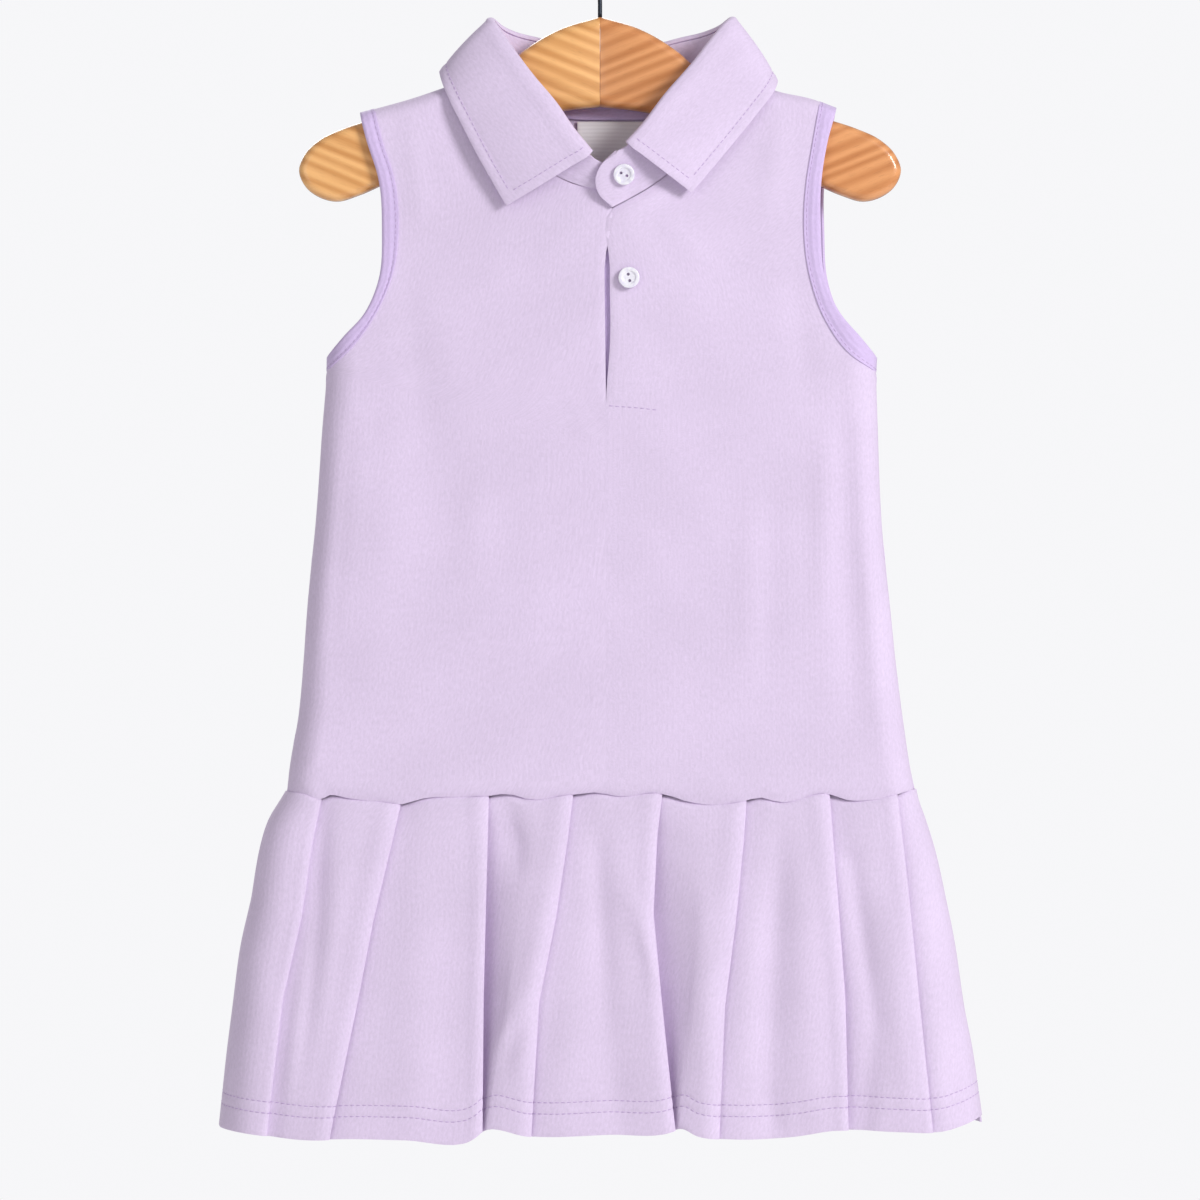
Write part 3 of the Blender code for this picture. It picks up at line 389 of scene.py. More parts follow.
# Hem at the front with the small steps between the pleats, x and z
STEPPED_HEM = (
    (-198.0, -622.8),
    (-192.4, -623.6),
    (-169.7, -626.6),
    (-148.0, -628.8),
    (-124.7, -628.4),
    (-99.0, -628.8),
    (-63.0, -628.0),
    (-59.6, -625.0),
    (-34.8, -627.2),
    (4.0, -626.2),
    (35.9, -624.8),
    (40.4, -623.2),
    (49.0, -626.8),
    (68.2, -628.6),
    (77.3, -628.6),
    (99.0, -627.0),
    (116.2, -624.2),
    (127.8, -624.0),
    (151.0, -624.8),
    (174.2, -624.4),
    (184.3, -621.4),
    (193.9, -617.8),
    (198.0, -617.0),
)

# Soft folds: x and z of both ends, half width, height over the cloth (troughs below 0)
FRONT_BODY_FOLDS = (
    (-126.0, -262.0, -138.0, -400.0, 5.0, -1.3),
    (-120.0, -235.0, -150.0, -442.0, 11.0, 1.4),
    (-101.0, -175.0, -84.0, -300.0, 9.0, -0.9),
    (-104.0, -240.0, -118.0, -420.0, 13.0, 1.3),
    (-78.0, -260.0, -82.0, -400.0, 14.0, -0.7),
    (-62.0, -285.0, -64.0, -345.0, 5.0, 0.5),
    (-34.0, -300.0, -32.0, -400.0, 8.0, 0.5),
    (77.0, -292.0, 74.0, -400.0, 4.5, 0.9),
    (88.0, -300.0, 84.0, -405.0, 7.0, -0.8),
    (114.0, -268.0, 112.0, -372.0, 5.0, 1.2),
    (124.0, -255.0, 128.0, -425.0, 7.5, -1.6),
    (136.0, -262.0, 146.0, -440.0, 6.0, 0.9),
    (98.0, -190.0, 106.0, -262.0, 7.0, -0.7),
    (-160.0, -453.5, -141.0, -443.0, 2.2, -1.2),
    (-152.0, -451.0, -140.0, -430.0, 4.0, 0.9),
    (-141.5, -457.0, -139.0, -449.0, 1.6, -0.9),
    (8.0, -162.5, 35.0, -150.0, 3.6, 1.5),
    (30.0, -158.0, 55.0, -196.0, 8.0, 0.8),
    (-5.5, -254.0, -2.0, -274.0, 1.8, -1.0),
    (-9.0, -256.0, -7.0, -276.0, 3.0, 0.6),
    (-80.0, -104.0, -62.0, -150.0, 7.0, -0.8),
    (-96.0, -109.0, -90.0, -170.0, 6.0, 0.8),
    (92.0, -107.0, 84.0, -165.0, 7.0, 0.8),
    (-40.0, -150.0, -60.0, -215.0, 12.0, 0.7),
)
BACK_BODY_FOLDS = (
    (-124.0, -258.0, -134.0, -410.0, 6.0, -1.4),
    (-104.0, -232.0, -116.0, -430.0, 12.0, 1.3),
    (-70.0, -180.0, -78.0, -330.0, 13.0, -0.9),
    (-30.0, -130.0, -42.0, -300.0, 15.0, 0.9),
    (12.0, -220.0, 6.0, -400.0, 12.0, -0.8),
    (44.0, -128.0, 56.0, -310.0, 14.0, 0.9),
    (82.0, -210.0, 86.0, -420.0, 12.0, -1.1),
    (108.0, -240.0, 116.0, -410.0, 8.0, 1.3),
    (126.0, -262.0, 134.0, -430.0, 6.0, -1.4),
    (-80.0, -102.0, -70.0, -150.0, 7.0, 0.8),
    (88.0, -104.0, 76.0, -160.0, 7.0, 0.8),
)
FRONT_SKIRT_FOLDS = (
    (-139.0, -462.0, -150.0, -600.0, 6.0, -1.8),
    (-143.0, -500.0, -158.0, -610.0, 4.0, 1.4),
    (-128.0, -480.0, -148.0, -600.0, 7.0, 1.2),
    (-90.0, -480.0, -98.0, -640.0, 11.0, 1.4),
    (-72.0, -500.0, -78.0, -640.0, 9.0, -0.9),
    (-47.0, -455.0, -40.0, -500.0, 6.0, -1.6),
    (-28.0, -500.0, -40.0, -600.0, 8.0, 2.0),
    (-40.0, -556.0, -56.0, -590.0, 3.0, 1.0),
    (-33.0, -562.0, -50.0, -596.0, 3.5, -0.9),
    (-2.0, -470.0, 4.0, -575.0, 6.0, -2.4),
    (2.0, -560.0, 12.0, -640.0, 7.0, -1.6),
    (14.0, -500.0, 31.0, -556.0, 5.0, 1.6),
    (-14.0, -520.0, -18.0, -640.0, 10.0, 1.4),
    (24.0, -540.0, 30.0, -640.0, 8.0, 1.8),
    (54.0, -500.0, 52.0, -640.0, 7.0, 1.6),
    (91.0, -470.0, 83.0, -640.0, 6.5, -2.6),
    (76.0, -500.0, 70.0, -600.0, 6.0, 1.2),
    (103.0, -490.0, 106.0, -640.0, 8.0, 1.6),
    (85.0, -603.0, 93.5, -640.0, 2.6, -2.0),
    (99.0, -606.0, 102.0, -640.0, 3.0, -1.2),
    (126.0, -480.0, 139.0, -575.0, 5.0, -2.0),
    (139.0, -560.0, 131.0, -640.0, 6.0, -1.8),
    (146.0, -500.0, 158.0, -630.0, 7.0, 1.4),
    (163.0, -520.0, 172.0, -630.0, 4.0, 1.0),
    (176.0, -560.0, 182.0, -640.0, 5.0, -1.4),
)
BACK_SKIRT_FOLDS = (
    (-128.0, -480.0, -140.0, -640.0, 7.0, -1.8),
    (-96.0, -470.0, -104.0, -640.0, 8.0, 1.6),
    (-62.0, -500.0, -66.0, -640.0, 7.0, -1.6),
    (-30.0, -480.0, -34.0, -640.0, 9.0, 1.6),
    (2.0, -500.0, 4.0, -640.0, 7.0, -1.8),
    (36.0, -470.0, 42.0, -640.0, 9.0, 1.5),
    (68.0, -505.0, 72.0, -640.0, 7.0, -1.7),
    (104.0, -480.0, 112.0, -640.0, 8.0, 1.6),
    (140.0, -500.0, 150.0, -640.0, 7.0, -1.8),
)
FOLD_TAPER = 0.6
FOLD_SIDE_FADE = 14.0

# How finely the cloth's tables are followed
BODY_FINENESS = 5
COLLAR_FINENESS = 5
TRIM_FINENESS = 4
SKIRT_POINT_STEP = 2.4
FOLD_POINTS = 3

# Depth of the stand's foot under the body's face
STAND_DEPTH = 0.6

# Columns and rows added between those of the placket's strip and the label
STRIP_FINENESS = 6
# Columns over which the fall's relief grows past the roll
FALL_FLAT_COLUMNS = 8
# Points closer than these are welded, in millimetres
PANEL_WELD = 0.02
HARD_WELD = 0.01

# Sewing, measured from the cloth's edges
COLLAR_STITCH_IN = 5.0
STAND_STITCH_IN = 3.0
HEM_STITCHES_UP = (11.5, 17.2)
END_STITCH_PLACES = 30
# Stitches at the placket's foot, x and z, and how many places they are traced through
PLACKET_STITCHES = ((4.0, -259.3), (18.0, -260.3), (29.0, -261.5))
TRACED_PLACES = 40
# Column of the tape's grid that each line of stitches keeps from its edge
TAPE_STITCH_COLUMN = 1.2
BINDING_STITCH_SHARE = 0.86
GROOVE_HALF_WIDTH = 0.9
GROOVE_DEPTH = 0.35
MARGIN_PUFF = 0.25


# Row of the body's coarse grid at which the slit ends
SLIT_END_ROW = 12

# Finish of the cloth's edges and seams
EDGE_ROUND = 0.3
EDGE_ANGLE = 60.0
SEAM_ROLL = 1.0
SEAM_ROLL_HEIGHT = 1.3
SEAM_PUFF = 0.35
SEAM_PUFF_UP = 3.5
SEAM_PUFF_REACH = 2.5
HEM_GROOVE = 0.7
SKIRT_FOLD_REACH = 192.0

# Binding's section from its outer edge: share of its width, height over the body
BINDING_SECTION = (
    (0.0, -0.3),
    (0.05, 0.1),
    (0.2, 0.4),
    (0.5, 0.5),
    (0.75, 0.3),
    (0.86, 0.0),
    (0.95, 0.3),
    (1.04, 0.35),
)
BINDING_STATIONS = 60

# Shares of the skirt's height, closer together at the seam and at the hem's stitches
SKIRT_ROWS = tuple(np.concatenate((np.linspace(0, 0.03, 5), np.linspace(0.05, 0.86, 38),
                                   np.linspace(0.875, 0.955, 17), np.linspace(0.97, 1.0, 3))))

# One stitch: share of its length, thickness and height in thread widths
STITCH_PROFILE = ((0.0, 0.5, -0.5), (0.12, 0.9, 0.0), (0.5, 1.0, 0.25), (0.88, 0.9, 0.0),
                  (1.0, 0.5, -0.5))
STITCH_SIDES = 6
RAY_START = 0.2

# Knit, in metres: distance between the wales drawn, size of the paler flecks, and the
# distance between two bands of a wave texture at scale 1
WALE_WIDTH = 0.0027635
FLECK_SIZE = 0.0011
WAVE_PERIOD = 2 * math.pi / 20
KNIT_BUMP = 0.00025

# Wood: stretch of its grain, its rings and its pores, the turn of the grain and its shift on
# each half, and how much darker red, green and blue are in the dark grain
GRAIN_STRETCH = (9.0, 60.0, 110.0)
RING_STRETCH = (4.0, 20.0, 60.0)
PORE_STRETCH = (160.0, 900.0, 2600.0)
GRAIN_TURN = 22.0
GRAIN_SHIFTS = (0.3, 1.7)
DARK_GRAIN = (0.8, 0.66, 0.5)

# Hanger and buttons
JOINT_HALF_GAP = 0.06
JOINT_ROUND = 0.25
WOOD_SMOOTH_ANGLE = 30.0
BUTTON_FACETS = 48
HOLE_FACETS = 20
BUTTON_RECESS = 0.7
BUTTON_EDGE = 0.45
BUTTON_EDGE_ANGLE = 20.0
BUTTON_SMOOTH_ANGLE = 35.0
# Widths of the button's rim and of the slope into its recess, as shares of its radius
BUTTON_RIM = 0.32
BUTTON_SLOPE = 0.1
FACING_UP = 0.9

# Stage, in metres but for the camera's millimetres
FLOOR_RADIUS = 1.6
FLOOR_Z = -0.95
WORLD_STRENGTH = 0.42
BACKDROP_STRENGTH = 0.97
LIGHTS = (
    ("key_light", (2.0, -1.9, 0.75), (0.9, 0.9), 62.0),
    ("fill_light", (-1.6, -2.0, -0.1), (1.6, 1.6), 8.0),
    ("back_light", (-0.4, 2.2, 0.9), (1.4, 1.4), 26.0),
)
CAMERA_DISTANCE = 3.0
CAMERA_CENTRE_Z = -357.4
PICTURE_WIDTH = 606.0
PICTURE_PLANE_Y = -12.0


def linear_colour(code):
    """Linear colour for an sRGB code written in hexadecimal."""
    shares = [int(code[i:i + 2], 16) / 255 for i in (0, 2, 4)]
    return [c / 12.92 if c <= 0.04045 else ((c + 0.055) / 1.055) ** 2.4 for c in shares] + [1.0]


def spline(rows, at):
    """Point of a smooth curve through rows of numbers, at a place counted in rows."""
    rows = np.asarray(rows, float)
    span = int(min(max(at, 0), len(rows) - 1.000001))
    share = at - span
    start = rows[span]
    end = rows[span + 1]
    before = rows[span - 1] if span > 0 else 2 * start - end
    after = rows[span + 2] if span + 2 < len(rows) else 2 * end - start
    gap_before, gap, gap_after = (np.maximum(np.linalg.norm(step, axis=-1, keepdims=True), 1e-9)
                                  for step in (start - before, end - start, after - end))
    slope_start = gap * ((start - before) / gap_before - (end - before) / (gap_before + gap)
                         + (end - start) / gap)
    slope_end = gap * ((end - start) / gap - (after - start) / (gap + gap_after)
                       + (after - end) / gap_after)
    return ((2 * share ** 3 - 3 * share ** 2 + 1) * start
            + (share ** 3 - 2 * share ** 2 + share) * slope_start
            + (3 * share ** 2 - 2 * share ** 3) * end
            + (share ** 3 - share ** 2) * slope_end)


def fine_table(rows, steps=8):
    """The same table with more rows, read from the smooth curves through it."""
    places = np.linspace(0, len(rows) - 1, (len(rows) - 1) * steps + 1)
    return np.array([spline(rows, place) for place in places])


BODY_FINE = fine_table(BODY_TABLE)[::-1]
SHOULDER_FINE = fine_table(SHOULDER_LINE)
WAIST_FINE = fine_table(BUMPY_WAIST)
HEM_FINE = fine_table(STEPPED_HEM)
SKIRT_FINE = fine_table(SKIRT_TABLE)


def read(table, column, at):
    """Value of a table's column where its first column reads `at`."""
    return np.interp(at, table[:, 0], table[:, column])


def round_over(share):
    """Quarter circle from 0 at the edge to 1 where the rounding ends."""
    return np.sqrt(1 - (1 - np.clip(share, 0.0, 1.0)) ** 2)


def body_depth(x, z, side):
    """How far the body's outer face stands from the plane of the side seams."""
    from_side = np.minimum(x - read(BODY_FINE, 1, z), read(BODY_FINE, 2, z) - x)
    below_shoulder = read(SHOULDER_FINE, 1, x) - z
    fullness = read(BODY_FINE, 3 if side == "front" else 4, z)
    if side == "front":
        across = (x - CHEST_CENTRE_X) / CHEST_SPREAD_X
        along = (z - CHEST_CENTRE_Z) / CHEST_SPREAD_Z
        fullness = fullness + CHEST_LIFT * np.exp(-across ** 2 - along ** 2)
    return (SEAM_HALF_GAP + fullness * round_over(from_side / SIDE_ROUND)
            * round_over(below_shoulder / SHOULDER_ROUND))


def on_body(x, z, side, inward=0.0):
    """Points at or under the body's outer face, for places seen from the front."""
    facing = -1 if side == "front" else 1
    y = facing * (body_depth(x, z, side) - inward)
    return np.stack(np.broadcast_arrays(x, y, z), axis=-1)


def soft_folds(folds, x, z):
    """How far the ridges and troughs of a table lift the cloth at places."""
    lift = np.zeros_like(x)
    for x0, z0, x1, z1, half_width, height in folds:
        length = (x1 - x0) ** 2 + (z1 - z0) ** 2
        share = np.clip(((x - x0) * (x1 - x0) + (z - z0) * (z1 - z0)) / length, 0, 1)
        away = np.hypot(x - x0 - share * (x1 - x0), z - z0 - share * (z1 - z0))
        taper = np.maximum(np.sin(math.pi * share), 0) ** FOLD_TAPER
        lift += height * taper * np.exp(-(away / half_width) ** 2)
    return lift


def armhole_row(table, at, side):
    """Seam and outer edge of an armhole at one place, front or back."""
    seam_x, seam_z, edge_x, edge_z, peek = spline(table, at)
    if side == "back":
        edge_x += math.copysign(peek, edge_x)
    return (seam_x, seam_z), (edge_x, edge_z)


def neck_point(at):
    """Place of the neck seam at a collar station, seen from the front."""
    return spline([row[:2] for row in COLLAR_TABLE], at)


def shoulder_z(x):
    """Height of the body's top line."""
    return read(SHOULDER_FINE, 1, x)


def half_panel(outer, inner, side, flip):
    """Grid of one half of a body panel between its outer and inner outlines.

    The first row is the shoulder seam, and the rows near it keep the shoulder's curve.
    """
    grid = []
    for (x0, z0), (x1, z1) in zip(outer, inner):
        drop = (shoulder_z(x0) - z0, shoulder_z(x1) - z1)
        if not grid:
            drop = (0.0, 0.0)
        follow = max(0.0, 1 - max(drop) / SHOULDER_REACH)
        row = []
        for share in COLUMN_SHARES:
            x = x0 + (x1 - x0) * share
            straight = z0 + (z1 - z0) * share
            along = shoulder_z(x) - drop[0] + (drop[0] - drop[1]) * share
            row.append(on_body(x, straight + (along - straight) * follow, side))
        grid.append(row[::-1] if flip else row)
    return grid


def waist_z(x):
    """Height of the waist seam."""
    return read(WAIST_FINE, 1, x)


def inner_x(z, hand, side):
    """Where a half panel ends: the slit's edge at the front, else the centre."""
    if side == "back":
        return BACK_CENTRE_X
    table = np.array(SLIT_TABLE)[::-1]
    return read(table, 1 if hand == "left" else 2, z)


def body_half(side, hand):
    """Coarse grid of one half of the front or back body."""
    table = ARMHOLE_LEFT if hand == "left" else ARMHOLE_RIGHT
    outer = [armhole_row(table, at, side)[0] for at in ARMHOLE_STEPS]
    start = LEFT_SIDE if hand == "left" else RIGHT_SIDE
    turn = 1 if hand == "left" else -1
    if side == "front":
        last = LEFT_FRONT if hand == "left" else TAB_END
        step = abs(last - start) / FRONT_NECK_STEPS[-1]
        inner = [neck_point(start - turn * at * step) for at in FRONT_NECK_STEPS]
        inner += [(inner_x(z, hand, side), z) for z in FRONT_CENTRE_ROWS]
    else:
        inner = [neck_point(start + turn * at) for at in BACK_NECK_STEPS]
        inner += [(inner_x(z, hand, side), z) for z in BACK_CENTRE_ROWS]
    edge_column = 1 if hand == "left" else 2
    for side_z, centre_z in LOWER_ROWS:
        outer.append((read(BODY_FINE, edge_column, side_z), side_z))
        inner.append((inner_x(centre_z, hand, side), centre_z))
    end_x = read(BODY_FINE, edge_column, waist_z(0))
    outer.append((end_x, waist_z(end_x)))
    inner.append((inner_x(waist_z(CENTRE_X), hand, side), waist_z(CENTRE_X)))
    return half_panel(outer, inner, side, (hand == "right") != (side == "back"))


def unit(vector):
    """The same direction at length 1."""
    return vector / np.linalg.norm(vector)


def collar_frame(at):
    """Neck point, roll point, and directions up the stand, along the roll and the neck."""
    def neck(place):
        x, z = neck_point(place)
        back = LEFT_SIDE < place < RIGHT_SIDE
        point = on_body(x, z, "back" if back else "front", STAND_DEPTH)
        if place in (LEFT_SIDE, RIGHT_SIDE):
            point[1] = 0.0
        if place < LEFT_FRONT:
            point[1] += TAB_LIFT * (LEFT_FRONT - place)
        if place > RIGHT_FRONT:
            point[1] -= TAB_LIFT * (place - RIGHT_FRONT)
        return point

    def roll(place):
        return spline([row[2:5] for row in COLLAR_TABLE], place)

    low = max(at - STATION_STEP, 0)
    high = min(at + STATION_STEP, TAB_END)
    up = unit(roll(at) - neck(at))
    along = unit(roll(high) - roll(low))
    return neck(at), roll(at), up, along, unit(neck(high) - neck(low))


def slant(up, along):
    """How much longer a gap is along `up` than square to the seam that runs `along`."""
    return 1 / max(np.linalg.norm(np.cross(up, along)), LEAST_SLANT)


def collar_places(first, last):
    """Stations of the collar's columns, with the neckline's own rows among them."""
    left = [LEFT_SIDE - at for at in FRONT_NECK_STEPS]
    step = (TAB_END - RIGHT_SIDE) / FRONT_NECK_STEPS[-1]
    right = [RIGHT_SIDE + at * step for at in FRONT_NECK_STEPS]
    back = [LEFT_SIDE + at for at in BACK_NECK_STEPS] + [RIGHT_SIDE - at for at in BACK_NECK_STEPS]
    front_end = [0.0, LEFT_FRONT / 2, RIGHT_FRONT]
    places = sorted({round(p, 5) for p in left + right + back + front_end})
    return [p for p in places if first <= p <= last]


def stand_point(at, share):
    """Middle of the stand's wall at a station, from the neck seam (0) to its top (1)."""
    neck, roll, up, along, neck_along = collar_frame(at)
    foot = neck + up * NECK_SEAM_GAP * slant(up, neck_along)
    inset = STAND_INSET * max(0.0, 1 - abs(neck[1]) / STAND_INSET_REACH)
    foot -= unit(np.cross(up, along)) * inset
    top = roll - up * (ROLL_RADIUS + ROLL_SEAM_GAP) * slant(up, along)
    point = foot + (top - foot) * share
    if at > RIGHT_FRONT:
        point[0] -= TAB_BULGE * (at - RIGHT_FRONT) ** 2 * math.sin(math.pi * share) ** 0.7
    return point


def fall_row(at):
    """Points of the fall at a station, over the roll and down to the outer edge."""
    neck, roll, up, along, neck_along = collar_frame(at)
    out = unit(np.cross(up, along))
    up = np.cross(along, out)
    centre = roll - up * ROLL_RADIUS + out * ROLL_RADIUS
    row = []
    for angle in ROLL_ANGLES:
        turn = math.radians(angle)
        row.append(centre + ROLL_RADIUS * (math.cos(turn) * out + math.sin(turn) * up))
    start = row[-1]
    end = spline([line[5:] for line in COLLAR_TABLE[LEFT_FRONT:RIGHT_FRONT + 1]],
                 at - LEFT_FRONT)
    for share in FALL_ROWS:
        bulge = FALL_BULGE * math.sin(math.pi * share)
        row.append(start + (end - start) * share + out * bulge)
    return row


class SkirtRing:
    """Smooth outline of the skirt at one level, measured along its own length."""

    def __init__(self, level):
        left, right, front, back, rounding, wrap = [read(SKIRT_FINE, c, level)
                                                    for c in range(1, 7)]
        middle = (left + right) / 2
        half = (right - left) / 2
        turns = np.linspace(0, math.pi, RING_STEPS)
        xs = middle - half * np.cos(turns)
        swell = round_over((half - abs(xs - middle)) / rounding)
        points = np.concatenate((np.stack((xs, -front * swell), 1),
                                 np.stack((xs, back * swell), 1)[-2::-1]))
        steps = np.linalg.norm(np.diff(points, axis=0), axis=1)
        self.lengths = np.concatenate(((0.0,), np.cumsum(steps)))
        self.points = points
        self.front_x = xs
        self.half = self.lengths[len(xs) - 1]
        self.total = self.lengths[-1]
        self.wrap = wrap

    def at_x(self, x):
        """Length along the front at which the outline reaches x."""
        return float(np.interp(x, self.front_x, self.lengths[:len(self.front_x)]))

    def place(self, length, outward):
        """Points at lengths along the outline, moved outwards."""
        def on_line(where):
            where = where % self.total
            return np.stack([np.interp(where, self.lengths, self.points[:, c]) for c in (0, 1)],
                            axis=-1)
        ahead = on_line(length + RING_REACH) - on_line(length - RING_REACH)
        ahead /= np.linalg.norm(ahead, axis=-1, keepdims=True)
        square = np.stack((ahead[..., 1], -ahead[..., 0]), axis=-1)
        return on_line(length) + outward[..., None] * square


def pleat_path(pleats, start, end):
    """Cloth's path round one side of a ring as pairs of length and outward offset."""
    pitch = LAYER_PITCH
    path = [(start, 0.0)]
    first = pleats[0]["edge"]
    path += [(start + (first - start) * share, 0.0) for share in SIDE_SHARES]
    for i, pleat in enumerate(pleats):
        edge = pleat["edge"]
        back = pleat["back"]
        deep = max(pleat["deep"], LEAST_FOLD_LAYERS * pitch)
        under = 2 * pitch + UNDER_SLACK if pleat["open"] < OPEN_FROM else OPEN_UNDER
        tip = np.array((edge - back, -deep))
        inwards = unit(tip - np.array((edge - FOLD_TURN, -pitch * FOLD_SLOPE)))
        square = np.array((inwards[1], -inwards[0])) * pitch / 2
        leg_in = tip - inwards * FOLD_TURN + square
        leg_out = tip - inwards * FOLD_TURN - square
        turned = np.array((edge - FOLD_TURN, -pitch))
        out_again = edge + pleat["open"]
        forward = np.array((out_again, -under))
        path += [
            (edge - FOLD_TURN, 0.0),
            (edge, -pitch / 2),
            tuple(turned),
            tuple((turned + leg_in) / 2),
            tuple(leg_in),
            tuple(tip),
            tuple(leg_out),
            tuple((leg_out + forward) / 2),
            tuple(forward),
        ]
        if i + 1 < len(pleats):
            flat = pleats[i + 1]["edge"] - pleats[i + 1]["back"] - FOLD_TURN
            shares = PANEL_SHARES
        else:
            flat = end
            shares = LAST_PANEL_SHARES
        for share in shares:
            depth = -under * (1 - share) ** UNDER_EASE
            path.append((out_again + (flat - out_again) * share, depth))
    path.append((end, 0.0))
    return path


def pleat_at(columns, level):
    """One pleat's sizes at a level."""
    return {name: float(np.interp(level, PLEAT_HEIGHTS, values))
            for name, values in columns.items()}


def refine(grid, row_steps, column_steps):
    """The same cloth with more rows and columns, through the same points."""
    grid = np.array(grid, float)
    for steps in (row_steps, column_steps):
        places = np.linspace(0, len(grid) - 1, (len(grid) - 1) * steps + 1)
        grid = np.array([spline(grid, place) for place in places]).transpose(1, 0, 2)
    return grid


def on_grid(values, rows, columns):
    """Values read between a grid's points."""
    i = np.clip(np.floor(rows).astype(int), 0, values.shape[0] - 2)
    j = np.clip(np.floor(columns).astype(int), 0, values.shape[1] - 2)
    s = (rows - i)[:, None]
    t = (columns - j)[:, None]
    return ((1 - s) * (1 - t) * values[i, j] + (1 - s) * t * values[i, j + 1]
            + s * (1 - t) * values[i + 1, j] + s * t * values[i + 1, j + 1])


class Cloth:
    """Grid of points on a panel in millimetres, its faces looking out of the garment."""

    def __init__(self, grid):
        self.points = np.array(grid, float)
        self.measure()

    def measure(self):
        """Lengths down the columns and along the rows, and the directions out of the cloth."""
        down = np.linalg.norm(np.diff(self.points, axis=0), axis=2)
        along = np.linalg.norm(np.diff(self.points, axis=1), axis=2)
        self.down = np.pad(np.cumsum(down, axis=0), ((1, 0), (0, 0)))
        self.along = np.pad(np.cumsum(along, axis=1), ((0, 0), (1, 0)))
        out = np.cross(np.gradient(self.points, axis=0), np.gradient(self.points, axis=1))
        self.out = out / np.maximum(np.linalg.norm(out, axis=2, keepdims=True), 1e-9)

    def lift(self, amount):
        """Move the points out of the cloth by an amount each."""
        self.points = self.points + self.out * amount[..., None]
        self.measure()

    def run(self, rows, columns, lift=0.0):
        """A line over the cloth as points and the directions out of it."""
        rows = np.asarray(rows, float) + np.zeros(np.shape(columns))
        columns = np.asarray(columns, float) + np.zeros(np.shape(rows))
        out = on_grid(self.out, rows, columns)
        out /= np.linalg.norm(out, axis=1, keepdims=True)
        return on_grid(self.points, rows, columns) + out * lift, out


def groove(distance, stitch_in):
    """Height of the cloth near a stitched edge: a groove at the stitches, a puffed margin."""
    margin = np.clip(1 - distance / stitch_in, 0, 1)
    return (MARGIN_PUFF * np.sin(math.pi * margin)
            - GROOVE_DEPTH * np.exp(-((distance - stitch_in) / GROOVE_HALF_WIDTH) ** 2))


def select_only(*things):
    """Select these objects alone, the first one active."""
    bpy.ops.object.select_all(action="DESELECT")
    for thing in things:
        thing.select_set(True)
    bpy.context.view_layer.objects.active = things[0]


def apply_modifier(thing, kind, **settings):
    """Add a modifier with its settings and apply it."""
    select_only(thing)
    modifier = thing.modifiers.new(kind.lower(), kind)
    for name, value in settings.items():
        setattr(modifier, name, value)
    bpy.ops.object.modifier_apply(modifier=modifier.name)


def mesh_piece(name, verts, faces, material):
    """A smooth mesh object in metres from points in millimetres."""
    mesh = bpy.data.meshes.new(name)
    mesh.from_pydata((np.asarray(verts) * MM).tolist(), [], faces)
    mesh.materials.append(material)
    mesh.shade_smooth()
    thing = bpy.data.objects.new(name, mesh)
    bpy.context.scene.collection.objects.link(thing)
    return thing


def cloth_piece(name, cloths, wall, shift, material, closed=False):
    """Cloth pieces joined where they meet, with a wall and rounded edges.

    The UV map holds metres along the cloth, so that the knit follows each panel.
    """
    verts = []
    faces = []
    corners = []
    for cloth in cloths:
        first = len(verts)
        count, width = cloth.points.shape[:2]
        verts.extend(cloth.points.reshape(-1, 3))
        for i in range(count if closed else count - 1):
            for j in range(width - 1):
                below = (i + 1) % count
                faces.append((first + i * width + j, first + below * width + j,
                              first + below * width + j + 1, first + i * width + j + 1))
                lower = cloth.down[i, j] + 1.0 if below == 0 else cloth.down[below, j]
                corners.extend(((cloth.along[i, j], -cloth.down[i, j]),
                                (cloth.along[below, j], -lower),
                                (cloth.along[below, j + 1], -lower),
                                (cloth.along[i, j + 1], -cloth.down[i, j + 1])))
    thing = mesh_piece(name, verts, faces, material)
    layer = thing.data.uv_layers.new(name="UVMap")
    layer.data.foreach_set("uv", (np.array(corners) * MM).ravel())
    mesh = bmesh.new()
    mesh.from_mesh(thing.data)
    bmesh.ops.remove_doubles(mesh, verts=mesh.verts, dist=PANEL_WELD * MM)
    mesh.to_mesh(thing.data)
    mesh.free()
    apply_modifier(thing, "SOLIDIFY", thickness=wall, offset=shift)
    apply_modifier(thing, "BEVEL", width=wall * EDGE_ROUND, segments=2, limit_method="ANGLE",
                   angle_limit=math.radians(EDGE_ANGLE))
    thing.data.shade_smooth()
    return thing


def thread_run(points, outs, pitch):
    """Evenly spaced middles of stitches on a line, their directions and the way out."""
    lengths = np.concatenate(((0.0,), np.cumsum(np.linalg.norm(np.diff(points, axis=0), axis=1))))
    count = max(int(lengths[-1] / pitch), 1)
    places = (np.arange(count) + 0.5) * lengths[-1] / count

    def at(values, where):
        return np.stack([np.interp(where, lengths, values[:, c]) for c in range(3)], axis=1)
    ahead = at(points, places + pitch / 3) - at(points, places - pitch / 3)
    ahead /= np.maximum(np.linalg.norm(ahead, axis=1, keepdims=True), 1e-9)
    out = at(outs, places)
    out /= np.linalg.norm(out, axis=1, keepdims=True)
    return at(points, places), ahead, out


